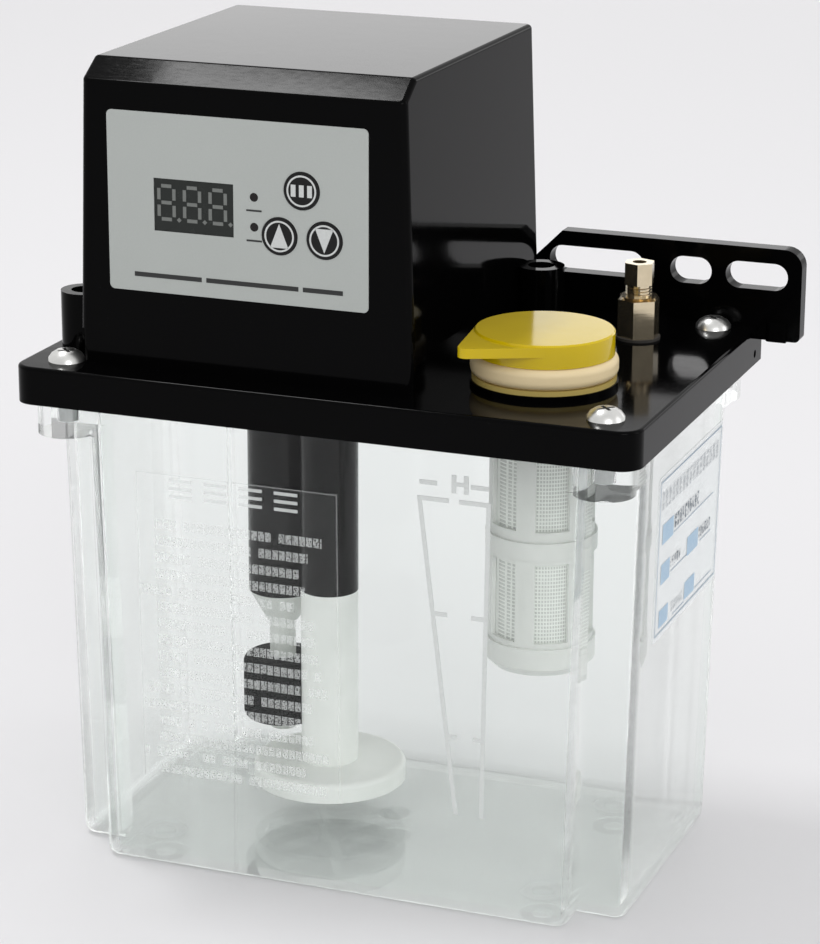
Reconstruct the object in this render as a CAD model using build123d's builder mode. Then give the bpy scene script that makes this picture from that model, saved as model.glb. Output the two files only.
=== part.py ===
from build123d import *
import os
from math import cos, hypot, atan2, degrees, radians, sin, tan

# Electric lubrication pump: a clear oil tank hangs under a moulded cover plate, which carries
# the pump drive and its control housing, the oil filler, the outlet and two slotted ears.
# Millimetres. X to the right, Y to the rear, Z up; the tank stands on Z = 0.

# Cover plate
plate_width = 186.0
plate_depth = 127.3
plate_thick = 11.0
plate_corner = 6.5
plate_rear_corner = 1.5
plate_edge = 1.0
plate_skin = 3.4
plate_land = 2.2
rib_thick = 2.4
rib_lines_x = (-64.0, 22.0)
rib_lines_y = (-21.0, 33.0)
standoff_floor = 1.0
side_hole_at = (55.1, 144.3)
side_hole_radius = 1.2
side_hole_depth = 2.5

# Tank: the insets are from the plate's edges to its floor section; the walls flare upwards by the draft
tank_height = 141.0
tank_wall = 2.6
tank_floor = 3.0
tank_draft = 1.2
tank_side_inset = 6.9
tank_notch_inset = 20.7
tank_front_inset = 10.45
tank_step_inset = 22.45
tank_corner = 4.2
tank_notch_round = 5.0
tank_foot_round = 3.0
boss_radius = 8.75
boss_height = 10.0
web_bite = 0.65
floor_ring_radius = 6.5
floor_ring_at = ((-60.0, -36.6), (60.0, -36.6), (-60.0, 31.0), (60.0, 31.0))
floor_ring_height = 0.6
gate_radius = 5.0

# Gasket cord in its groove
gasket_width = 1.5
gasket_height = 1.6
groove_gap = 0.1

# Cover screws and their inserts
screw_side_inset = 12.3
screw_front_inset = 11.25
screw_radius = 2.5
screw_reach = 6.5
screw_head_radius = 5.25
screw_crown_radius = 4.36
screw_head_bands = (
    (screw_head_radius, 0.9, 0),
    (screw_head_radius, 1.2, 36),
    (screw_crown_radius, 0.9, 57),
)
cross_span = 5.25
cross_width = 1.15
cross_depth = 1.5
screw_clearance = 0.25
screw_head_relief = 0.3
insert_radius = 3.2
insert_length = 4.5
insert_depth = 2.0
thread_gap = 0.05

# Slack with which edges and corners are picked out
pick_slack = 0.1

# Control housing on its plinth
housing_x = -25.9
housing_y = 1.95
housing_width = 101.4
housing_depth = 107.2
housing_wall = 2.6
housing_taper = 2.5
housing_rear_lean = 1.5
housing_height = 77.1
housing_corner = 2.2
housing_edge = 1.4
bevel_drop = 5.5
bevel_run = 8.3
plinth_height = 9.7
plinth_wall = 5.0
tongue_height = 2.0
tongue_thick = 1.5
joint_gap = 0.2
lug_radius = 7.0
lug_rise = 7.4
lug_stand = 5.6
lug_setback = 14.9
lug_bore = 4.0
lug_bore_depth = 4.2
lug_screw_radius = 2.0
lug_screw_head = 3.6
lug_screw_head_height = 2.4
lug_screw_head_taper = 20.0
lug_cross_width = 0.9
lug_cross_depth = 1.4
lug_screw_length = 12.0

# Rear ears with their slots
ear_thick = 5.3
ear_inner_x = 22.0
ear_outer_x = 105.6
ear_rise = 23.9
ear_drop = 4.0
ear_chamfer = 9.0
ear_corner = 5.5
ear_lower_corner = 1.6
ear_pad_x = 98.6
ear_pad_width = 6.4
ear_pad_rise = 1.8
ear_pad_thick = 1.8
ear_pad_round = 1.5
slot_rise = 15.3
slot_radius = 4.06
slots = ((42.0, 29.6), (71.6, 12.8), (91.85, 19.0))

# Operating panel on the housing front
panel_x = -27.3
panel_rise = 48.0
panel_width = 78.4
panel_height = 51.1
panel_thick = 0.3
panel_corner = 1.5
window_at = (-40.3, 47.7)
window_width = 24.2
window_height = 15.0
window_gap = 0.1
digit_width = 5.6
digit_height = 10.4
digit_pitch = 7.8
digit_stroke = 1.0
digit_gap = 0.25
digit_thick = 0.15
digit_rise = 0.7
lamp_radius = 1.15
lamp_gap = 0.1
lamps_at = ((-22.0, 52.1), (-22.0, 43.7))
key_radius = 5.25
key_gap = 0.15
key_thick = 1.2
key_proud = 0.25
key_recess = 1.2
key_travel = 0.4
key_plunger_radius = 1.5
key_plunger_length = 3.2
key_plunger_gap = 0.2
keys_at = {"set": (-7.7, 55.0), "up": (-14.4, 41.8), "down": (-1.0, 41.7)}

# Control board behind the panel
board_gap = 4.9
board_thick = 1.6
board_width = 80.0
board_height = 46.0
post_radius = 3.0
post_spacing_x = 68.0
post_spacing_y = 38.0
board_screw_radius = 1.2
board_screw_length = 6.0
board_screw_head = 2.6
board_screw_head_height = 1.8
switch_size = 6.0
switch_button_radius = 1.7
switch_case_share = 0.7
transformer_size = (32.0, 16.0, 26.0)
transformer_corner = 2.0
transformer_shift = -16.0
terminal_size = (34.0, 9.0, 8.0)
terminal_shift = (17.6, -9.2)
terminal_ways = 5
terminal_web = 2.0
terminal_edge = 1.6
terminal_pocket_depth = 3.6

# Cable gland on the left of the housing
gland_y = 27.0
gland_rise = 28.0
gland_radius = 7.6
gland_hex = 19.0
gland_hex_thick = 5.0
gland_cap_length = 9.0
gland_cap_radius = 9.0
gland_cap_crown = 4.5
gland_mouth_radius = 6.0
gland_bore = 4.0
gland_gap = 0.2
gland_pad_radius = 11.5
gland_pad = 0.8
gland_nut_thick = 4.0
gland_thread_spare = 1.5

# Motor
motor_standoff = 12.0
motor_standoff_radius = 4.5
motor_bolt_spacing = 50.0
motor_flange = 60.0
motor_flange_thick = 4.0
motor_flange_corner = 4.0
motor_radius = 26.0
motor_wall = 2.0
motor_length = 46.0
motor_cap_height = 5.0
motor_boss_radius = 11.0
motor_boss_height = 6.0
bearing_radius = 8.0
bearing_length = 5.0
bearing_stop = 1.0
stator_length = 30.0
stator_bore = 14.6
rotor_radius = 14.2
rotor_length = 32.0
motor_shaft_radius = 3.0
motor_shaft_reach = 5.5
motor_shaft_clearance = 0.5
running_gap = 0.05
press_gap = 0.02
motor_screw_radius = 2.0
motor_screw_length = 12.0
motor_screw_head = 3.5
motor_screw_head_height = 2.4
coupling_radius = 6.0
coupling_length = 8.0
coupling_gap = 0.4

# Gear pump on its column
pump_x = -22.2
pump_y = 1.8
column_radius = 8.75
column_bore = 6.4
column_length = 64.0
pump_flange_radius = 15.5
pump_flange_thick = 2.4
pump_bolt_circle = 12.0
pump_bolt_turn = 93.0
pump_socket_radius = 7.0
pump_shaft_radius = 1.5
pin_radius = 1.2
gear_module = 0.8
gear_teeth = 8
gear_thick = 7.9
gear_backlash = 3.0
gear_dedendum = 1.25
gear_root_spread = 1.35
gear_tip_share = 0.42
gear_end_gap = 0.1
gear_spread = 0.1
chamber_gap = 0.15
plug_length = 12.0
bush_radius = 2.6
bush_length = 6.0
end_plate_thick = 4.0
end_plate_skin = 1.0
port_radius = 1.1
seal_radius = 5.0
seal_length = 4.0
seal_collar_radius = 8.0
seal_collar_height = 3.0
pump_screw_radius = 1.5
pump_screw_length = 7.0
pump_screw_head = 2.8
pump_screw_head_height = 1.6

# Suction tube and strainer
tube_radius = 8.65
tube_wall = 1.8
strainer_radius = 23.2
strainer_clear = 9.4
strainer_base_thick = 2.0
strainer_cover_height = 4.0
strainer_cover_wall = 1.6
strainer_socket = 1.6
strainer_edge = 1.8
strainer_mesh_thick = 0.3
strainer_mesh_lap = 1.0
strainer_rim = 3.0
strainer_hub = 6.0
strainer_spoke = 2.4
strainer_windows = 6

# Level switch
switch_x = -42.0
switch_y = 11.9
switch_radius = 10.3
switch_body_length = 73.6
switch_cone_length = 9.6
switch_cone_tip = 5.0
switch_stem_radius = 4.0
switch_stem_length = 35.6
switch_neck_radius = 5.0
switch_neck_height = 8.0
switch_nut = 16.0
switch_nut_thick = 5.0
float_radius = 12.2
float_height = 20.0
float_round = 2.2
float_travel = 11.8
float_gap = 0.3
clip_radius = 6.4
clip_thick = 1.4
clip_mouth = 3.0
clip_throat = 4.5
clip_gap = 0.1

# Filler with its strainer basket
filler_x = 53.6
filler_y = -24.2
filler_collar_radius = 20.8
filler_collar_height = 1.5
filler_boss_radius = 18.6
basket_radius = 15.0
basket_wall = 1.2
basket_depth = 71.5
basket_floor = 1.6
basket_flange_radius = 20.8
basket_flange_height = 6.1
basket_flange_round = 2.2
basket_bore = 13.2
basket_fit = 0.3
basket_ring_radius = 15.9
basket_ring_height = 5.0
basket_ring_depth = 31.5
basket_cup_height = 8.5
basket_cup_radius = 15.8
basket_cup_chamfer = 2.4
basket_windows = 6
basket_window_angle = 38.0
basket_window_top = 5.0
basket_window_margin = 3.0
mesh_gap = 0.1
mesh_thick = 0.4

# Filler lid on its strap
lid_radius = 19.7
lid_height = 6.7
lid_wall = 1.6
lid_edge = 0.45
lid_plug_depth = 3.0
lid_plug_gap = 0.4
lid_plug_wall = 1.5
tab_reach = 31.2
tab_radius = 2.6
tab_thick = 2.8
tab_drop = 0.5
tab_direction = 241.0
tether_radius = 20.3
tether_thick = 1.35
strap_width = 9.6
strap_thick = 1.2
strap_gap = 0.5
strap_drop = 0.5
hinge_gap = 0.15
hinge_leaf = 1.2

# Outlet fitting
outlet_x = 63.5
outlet_y = 32.2
outlet_boss_radius = 8.6
outlet_thread_radius = 4.85
outlet_thread_length = 7.0
outlet_thread_spare = 1.0
outlet_bore = 1.5
outlet_hex = 11.0
outlet_hex_height = 12.1
outlet_hex_chamfer = 0.9
outlet_chamfer_angle = 50.0
outlet_hex_turn = -26.4
outlet_neck_radius = 3.6
outlet_neck_height = 9.0
outlet_nut_hex = 8.0
outlet_nut_height = 6.5
outlet_nut_lift = 3.5
outlet_nut_turn = -20.0
outlet_tube_radius = 2.05
outlet_tube_depth = 5.0
washer_radius = 6.6
washer_thick = 0.8
gallery_radius = 1.6
gallery_rib = 8.0

# Printed films on the tank
film_thick = 0.2
notice_x = -27.0
notice_top = 18.5
notice_width = 62.0
notice_height = 94.0
rating_y = 5.0
rating_top = 12.5
rating_width = 64.0
rating_height = 49.0
rating_corner = 1.5
scale_left = (28.6, 39.3)
scale_right = (48.9, 46.9)
scale_high = 11.6
scale_top = 16.3
scale_bottom = 110.0
scale_ticks = ((49.9, 4.3), (86.3, 3.0))
scale_line = 1.3
scale_bar = 8.0
scale_mark = 5.2

rim_z = tank_height
screw_head_height = sum(band[1] for band in screw_head_bands)
plate_top_z = rim_z + plate_thick
pocket_roof_z = plate_top_z - plate_skin
split_z = plate_top_z + plinth_height
housing_top_z = split_z + housing_height
housing_front_y = housing_y - housing_depth / 2
housing_left_x = housing_x - housing_width / 2
plate_rear_y = plate_depth / 2
gland_lean = housing_taper * (gland_rise + gland_pad_radius - plinth_height) / housing_height
gland_grip = gland_pad + housing_wall + gland_lean
ear_front_y = plate_rear_y - ear_thick
lug_offset_x = housing_width / 2 + lug_stand
lug_offset_y = housing_depth / 2 - lug_setback
tank_side_x = plate_width / 2 - tank_side_inset
tank_side_y = plate_depth / 2 - tank_step_inset
tank_front_x = plate_width / 2 - tank_notch_inset
tank_front_y = plate_depth / 2 - tank_front_inset
screw_x = plate_width / 2 - screw_side_inset
screw_y = plate_depth / 2 - screw_front_inset
screw_spots = [(x, y) for x in (-screw_x, screw_x) for y in (-screw_y, screw_y)]
lug_spots = [
    (housing_x - lug_offset_x, housing_y - lug_offset_y),
    (housing_x + lug_offset_x, housing_y + lug_offset_y),
]
gear_pitch = gear_module * gear_teeth
gear_distance = gear_pitch + gear_spread
gear_outer = gear_pitch / 2 + gear_module
gear_root = gear_pitch / 2 - gear_dedendum * gear_module
drive_y = pump_y + gear_distance / 2
driven_y = pump_y - gear_distance / 2
column_foot_z = rim_z - column_length
chamber_top_z = column_foot_z + gear_thick + 2 * gear_end_gap
plug_top_z = chamber_top_z + plug_length
end_plate_z = column_foot_z - end_plate_thick
strainer_z = tank_floor + strainer_clear
strainer_split_z = strainer_z + strainer_base_thick
strainer_top_z = strainer_split_z + strainer_cover_height
motor_z = plate_top_z + motor_standoff
motor_cap_z = motor_z + motor_length
switch_foot_z = rim_z - switch_body_length
cone_foot_z = switch_foot_z - switch_cone_length
float_z = cone_foot_z - float_travel - joint_gap - float_height
filler_seat_z = plate_top_z + filler_collar_height
flange_z = filler_seat_z + tether_thick
lid_z = flange_z + basket_flange_height
basket_foot_z = rim_z - basket_depth
hinge_radius = basket_flange_radius + strap_gap + strap_thick / 2
hinge_z = lid_z - hinge_gap
board_front_y = housing_front_y + housing_wall + board_gap
board_back_y = board_front_y + board_thick
board_x = panel_x
board_z = plate_top_z + panel_rise

front_plane = Plane.XZ.offset(-housing_front_y)
board_plane = Plane.XZ.offset(-board_front_y)
board_back_plane = Plane.XZ.offset(-board_back_y)
filler_axis_plane = Plane(
    origin=(filler_x, filler_y, 0),
    x_dir=(cos(radians(tab_direction + 180)), sin(radians(tab_direction + 180)), 0),
    z_dir=(0, 0, 1),
)
post_spots = [
    (board_x + x * post_spacing_x / 2, board_z + z * post_spacing_y / 2)
    for x in (-1, 1)
    for z in (-1, 1)
]


def above_plate(spots):
    """Turn (x, rise over the plate) pairs into sketch places on an upright plane."""
    return [(x, plate_top_z + rise) for x, rise in spots]


def tank_outline(sketch, height, inset=0.0):
    """Draw the tank's cross-shaped section at a height, moved inwards by an inset."""
    grow = height * tan(radians(tank_draft)) - inset
    notch_x = tank_front_x + grow
    notch_y = tank_side_y + grow
    Rectangle(2 * notch_x, 2 * (tank_front_y + grow))
    Rectangle(2 * (tank_side_x + grow), 2 * notch_y)
    corners = sketch.vertices()
    hollow = [v for v in corners if abs(abs(v.X) - notch_x) + abs(abs(v.Y) - notch_y) < pick_slack]
    outer = [v for v in corners if v not in hollow]
    fillet(outer, max(tank_corner - inset, 0.5))
    fillet(hollow, tank_notch_round + inset)


def draw_gear():
    """Draw a spur gear's outline about the sketch origin, with a tooth on the X axis."""
    pitch_angle = 360 / gear_teeth
    half_pitch_tooth = pitch_angle / 4 - gear_backlash / 2
    outline = []
    for tooth in range(gear_teeth):
        middle = tooth * pitch_angle
        for radius, half in (
            (gear_root, -half_pitch_tooth * gear_root_spread),
            (gear_pitch / 2, -half_pitch_tooth),
            (gear_outer, -half_pitch_tooth * gear_tip_share),
            (gear_outer, half_pitch_tooth * gear_tip_share),
            (gear_pitch / 2, half_pitch_tooth),
            (gear_root, half_pitch_tooth * gear_root_spread),
        ):
            angle = radians(middle + half)
            outline.append((radius * cos(angle), radius * sin(angle)))
    Polygon(*outline, align=None)


# ---------------------------------------------------------------- tank
with BuildPart() as tank:
    with BuildSketch() as tank_foot:
        tank_outline(tank_foot, 0)
    extrude(amount=tank_height, taper=-tank_draft)
    fillet(tank.faces().sort_by(Axis.Z)[0].edges(), tank_foot_round)
    with BuildSketch(Plane.XY.offset(rim_z)):
        rim_grow = tank_height * tan(radians(tank_draft))
        with Locations(*screw_spots):
            Circle(boss_radius)
        for side_x in (-1, 1):
            for side_y in (-1, 1):
                web_x = tank_front_x - tank_corner
                web_y = tank_side_y - tank_corner
                rim_y = tank_front_y + rim_grow - web_bite
                rim_x = tank_side_x + rim_grow - web_bite
                with Locations((side_x * (web_x + screw_x) / 2, side_y * (web_y + rim_y) / 2)):
                    Rectangle(screw_x - web_x, rim_y - web_y)
                with Locations((side_x * (web_x + rim_x) / 2, side_y * (web_y + screw_y) / 2)):
                    Rectangle(rim_x - web_x, screw_y - web_y)
    extrude(amount=-boss_height)
    with BuildSketch(Plane.XY.offset(tank_floor)) as tank_inside:
        tank_outline(tank_inside, tank_floor, tank_wall)
    extrude(amount=tank_height - tank_floor, taper=-tank_draft, mode=Mode.SUBTRACT)
    with BuildSketch(Plane.XY.offset(rim_z)):
        with Locations(*screw_spots):
            Circle(screw_radius + screw_clearance)
    extrude(amount=-insert_depth, mode=Mode.SUBTRACT)
    with BuildSketch(Plane.XY.offset(rim_z - insert_depth)):
        with Locations(*screw_spots):
            Circle(insert_radius + press_gap)
    extrude(amount=-insert_length - joint_gap, mode=Mode.SUBTRACT)
    with BuildSketch(Plane.XY.offset(tank_floor)):
        with Locations(*floor_ring_at):
            Circle(floor_ring_radius)
        with Locations(*floor_ring_at):
            Circle(floor_ring_radius / 2, mode=Mode.SUBTRACT)
        Circle(gate_radius)
    extrude(amount=floor_ring_height)
tank.part.label = "tank"
export_step(tank.part, "parts/tank.step")

gasket_inset = (tank_wall - gasket_width) / 2
with BuildPart() as tank_gasket:
    with BuildSketch(Plane.XY.offset(rim_z)) as gasket_outer:
        tank_outline(gasket_outer, tank_height, gasket_inset)
    extrude(amount=gasket_height)
    with BuildSketch(Plane.XY.offset(rim_z)) as gasket_inner:
        tank_outline(gasket_inner, tank_height, gasket_inset + gasket_width)
    extrude(amount=gasket_height, mode=Mode.SUBTRACT)
tank_gasket.part.label = "tank_gasket"
export_step(tank_gasket.part, "parts/tank_gasket.step")

# ---------------------------------------------------------------- cover plate
gallery_run = hypot(outlet_x - pump_x, outlet_y - pump_y)
gallery_angle = degrees(atan2(outlet_y - pump_y, outlet_x - pump_x))
gallery_z = (rim_z + pump_flange_thick + pocket_roof_z) / 2
motor_spots = [
    (pump_x + x * motor_bolt_spacing / 2, drive_y + y * motor_bolt_spacing / 2)
    for x in (-1, 1)
    for y in (-1, 1)
]
with BuildPart() as cover_plate:
    with BuildSketch(Plane.XY.offset(rim_z)) as plate_outline:
        Rectangle(plate_width, plate_depth)
        fillet(plate_outline.vertices().group_by(Axis.Y)[0], plate_corner)
        fillet(plate_outline.vertices().group_by(Axis.Y)[-1], plate_rear_corner)
    extrude(amount=plate_thick)
    fillet(cover_plate.faces().sort_by(Axis.Z)[-1].edges(), plate_edge)
    # Pocket in the underside, with ribs, bosses and the oil gallery left standing
    with BuildSketch(Plane.XY.offset(rim_z)) as pocket:
        tank_outline(pocket, tank_height, tank_wall + plate_land)
        with Locations(*[(x, 0) for x in rib_lines_x]):
            Rectangle(rib_thick, plate_depth, mode=Mode.SUBTRACT)
        with Locations(*[(0, y) for y in rib_lines_y]):
            Rectangle(plate_width, rib_thick, mode=Mode.SUBTRACT)
        with Locations((pump_x, pump_y)):
            Circle(pump_flange_radius, mode=Mode.SUBTRACT)
        with Locations((switch_x, switch_y)):
            Circle(switch_radius, mode=Mode.SUBTRACT)
        with Locations((filler_x, filler_y)):
            Circle(filler_boss_radius, mode=Mode.SUBTRACT)
        with Locations((outlet_x, outlet_y)):
            Circle(outlet_boss_radius, mode=Mode.SUBTRACT)
        with Locations(((pump_x + outlet_x) / 2, (pump_y + outlet_y) / 2)):
            Rectangle(gallery_run, gallery_rib, rotation=gallery_angle, mode=Mode.SUBTRACT)
    extrude(amount=plate_thick - plate_skin, mode=Mode.SUBTRACT)
    with BuildSketch(Plane.XY.offset(rim_z)):
        with Locations((pump_x, pump_y)):
            Circle(pump_flange_radius + joint_gap)
    extrude(amount=pump_flange_thick, mode=Mode.SUBTRACT)
    with BuildSketch(Plane.XY.offset(rim_z + pump_flange_thick)):
        with Locations((pump_x, pump_y)):
            Circle(pump_socket_radius)
        with Locations((pump_x, pump_y)):
            with PolarLocations(pump_bolt_circle, 3, pump_bolt_turn):
                Circle(pump_screw_radius + thread_gap)
    extrude(amount=pocket_roof_z - rim_z - pump_flange_thick, mode=Mode.SUBTRACT)
    # Gasket groove over the tank rim
    with BuildSketch(Plane.XY.offset(rim_z)) as groove:
        tank_outline(groove, tank_height, gasket_inset - groove_gap)
        with BuildSketch(Plane.XY.offset(rim_z), mode=Mode.PRIVATE) as groove_core:
            tank_outline(groove_core, tank_height, gasket_inset + gasket_width + groove_gap)
        add(groove_core.sketch, mode=Mode.SUBTRACT)
    extrude(amount=gasket_height, mode=Mode.SUBTRACT)
    # Plinth, its tongue and the pads under the housing lugs
    with BuildSketch(Plane.XY.offset(plate_top_z)):
        with Locations((housing_x, housing_y)):
            RectangleRounded(housing_width, housing_depth, housing_corner)
        with Locations(*lug_spots):
            Circle(lug_radius)
        with Locations((housing_x, housing_y)):
            Rectangle(
                housing_width - 2 * plinth_wall,
                housing_depth - 2 * plinth_wall,
                mode=Mode.SUBTRACT,
            )
        with Locations(*screw_spots):
            Circle(screw_head_radius + screw_head_relief, mode=Mode.SUBTRACT)
    extrude(amount=plinth_height)
    with BuildSketch(Plane.XY.offset(split_z)):
        tongue_inset = housing_wall + joint_gap
        with Locations((housing_x, housing_y)):
            Rectangle(housing_width - 2 * tongue_inset, housing_depth - 2 * tongue_inset)
            Rectangle(
                housing_width - 2 * (tongue_inset + tongue_thick),
                housing_depth - 2 * (tongue_inset + tongue_thick),
                mode=Mode.SUBTRACT,
            )
    extrude(amount=tongue_height)
    # Standoffs for the motor and the collar round the shaft seal
    with BuildSketch(Plane.XY.offset(plate_top_z)):
        with Locations(*motor_spots):
            Circle(motor_standoff_radius)
    extrude(amount=motor_standoff)
    with BuildSketch(Plane.XY.offset(plate_top_z)):
        with Locations((pump_x, drive_y)):
            Circle(seal_collar_radius)
    extrude(amount=seal_collar_height)
    # Collar round the filler hole
    with BuildSketch(Plane.XY.offset(plate_top_z)):
        with Locations((filler_x, filler_y)):
            Circle(filler_collar_radius)
    extrude(amount=filler_collar_height)
    # Rear ears: chamfered inner end, rounded outer corners, three slots each
    with BuildSketch(Plane.XZ.offset(-plate_rear_y)) as ears:
        ear_top_z = plate_top_z + ear_rise
        ear_foot_z = plate_top_z - ear_drop
        for side in (-1, 1):
            with BuildLine():
                Polyline(
                    (side * ear_inner_x, ear_foot_z),
                    (side * ear_inner_x, ear_top_z - ear_chamfer),
                    (side * (ear_inner_x + ear_chamfer), ear_top_z),
                    (side * ear_outer_x, ear_top_z),
                    (side * ear_outer_x, ear_foot_z),
                    close=True,
                )
            make_face()
        for level, round_radius in ((ear_top_z, ear_corner), (ear_foot_z, ear_lower_corner)):
            tips = [
                corner
                for corner in ears.vertices()
                if abs(corner.X) > ear_outer_x - 0.01 and abs(corner.Y - level) < 0.01
            ]
            fillet(tips, round_radius)
        for middle, length in slots:
            with Locations(*above_plate([(middle, slot_rise), (-middle, slot_rise)])):
                SlotOverall(length, 2 * slot_radius, mode=Mode.SUBTRACT)
    extrude(amount=ear_thick)
    # Pads at the feet of the ears, beside the plate, and a blind hole in the plate's right side
    with BuildSketch(Plane.XZ.offset(-ear_front_y)):
        with Locations((ear_pad_x, (ear_foot_z + plate_top_z + ear_pad_rise) / 2)):
            Rectangle(ear_pad_width, plate_top_z + ear_pad_rise - ear_foot_z)
        with Locations((-ear_pad_x, (ear_foot_z + plate_top_z + ear_pad_rise) / 2)):
            Rectangle(ear_pad_width, plate_top_z + ear_pad_rise - ear_foot_z)
    extrude(amount=ear_pad_thick)
    pad_corners = [
        e
        for e in cover_plate.edges().filter_by(Axis.Z)
        if abs(e.center().Y - ear_front_y + ear_pad_thick) < 0.01
        and abs(abs(e.center().X) - ear_pad_x + ear_pad_width / 2) < 0.01
    ]
    fillet(pad_corners, ear_pad_round)
    with BuildSketch(Plane.YZ.offset(plate_width / 2)):
        with Locations(side_hole_at):
            Circle(side_hole_radius)
    extrude(amount=-side_hole_depth, mode=Mode.SUBTRACT)
    # Holes
    with BuildSketch(Plane.XY.offset(plate_top_z)):
        with Locations(*screw_spots):
            Circle(screw_radius + screw_clearance)
    extrude(amount=-plate_thick, mode=Mode.SUBTRACT)
    with BuildSketch(Plane.XY.offset(split_z)):
        with Locations(*lug_spots):
            Circle(lug_screw_radius + thread_gap)
    extrude(amount=-plinth_height, mode=Mode.SUBTRACT)
    with BuildSketch(Plane.XY.offset(motor_z)):
        with Locations(*motor_spots):
            Circle(motor_screw_radius + thread_gap)
    extrude(amount=standoff_floor - motor_standoff, mode=Mode.SUBTRACT)
    with BuildSketch(Plane.XY.offset(filler_seat_z)):
        with Locations((filler_x, filler_y)):
            Circle(basket_radius + basket_fit)
    extrude(amount=-filler_collar_height - plate_thick, mode=Mode.SUBTRACT)
    with BuildSketch(Plane.XY.offset(plate_top_z)):
        with Locations((outlet_x, outlet_y)):
            Circle(outlet_thread_radius + thread_gap)
    extrude(amount=-outlet_thread_length - outlet_thread_spare, mode=Mode.SUBTRACT)
    with BuildSketch(Plane.XY.offset(plate_top_z)):
        with Locations((pump_x, drive_y)):
            Circle(pump_shaft_radius + joint_gap)
    extrude(amount=-plate_skin, mode=Mode.SUBTRACT)
    with BuildSketch(Plane.XY.offset(plate_top_z)):
        with Locations((switch_x, switch_y)):
            Circle(switch_neck_radius + screw_clearance)
    extrude(amount=-plate_thick, mode=Mode.SUBTRACT)
    with BuildSketch(Plane.XY.offset(plate_top_z + seal_collar_height)):
        with Locations((pump_x, drive_y)):
            Circle(seal_radius + press_gap)
    extrude(amount=-seal_length, mode=Mode.SUBTRACT)
    # Oil gallery through its rib, from the pump socket to the outlet
    with BuildSketch(
        Plane(
            origin=(pump_x, pump_y, gallery_z),
            z_dir=(outlet_x - pump_x, outlet_y - pump_y, 0),
        )
    ):
        Circle(gallery_radius)
    extrude(amount=gallery_run, mode=Mode.SUBTRACT)
cover_plate.part.label = "cover_plate"
export_step(cover_plate.part, "parts/cover_plate.step")

# ---------------------------------------------------------------- cover screws and inserts
with BuildPart() as cover_screws:
    with BuildSketch(Plane.XY.offset(plate_top_z)):
        with Locations(*screw_spots):
            Circle(screw_radius)
    extrude(amount=-plate_thick - screw_reach)
    band_z = plate_top_z
    for band_radius, band_height, band_taper in screw_head_bands:
        with BuildSketch(Plane.XY.offset(band_z)):
            with Locations(*screw_spots):
                Circle(band_radius)
        extrude(amount=band_height, taper=band_taper)
        band_z += band_height
    with BuildSketch(Plane.XY.offset(plate_top_z + screw_head_height)):
        with Locations(*screw_spots):
            Rectangle(cross_span, cross_width, rotation=45)
            Rectangle(cross_span, cross_width, rotation=-45)
    extrude(amount=-cross_depth, mode=Mode.SUBTRACT)
cover_screws.part.label = "cover_screws"
export_step(cover_screws.part, "parts/cover_screws.step")

with BuildPart() as screw_inserts:
    with BuildSketch(Plane.XY.offset(rim_z - insert_depth)):
        with Locations(*screw_spots):
            Circle(insert_radius)
        with Locations(*screw_spots):
            Circle(screw_radius + thread_gap, mode=Mode.SUBTRACT)
    extrude(amount=-insert_length)
screw_inserts.part.label = "screw_inserts"
export_step(screw_inserts.part, "parts/screw_inserts.step")

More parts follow.
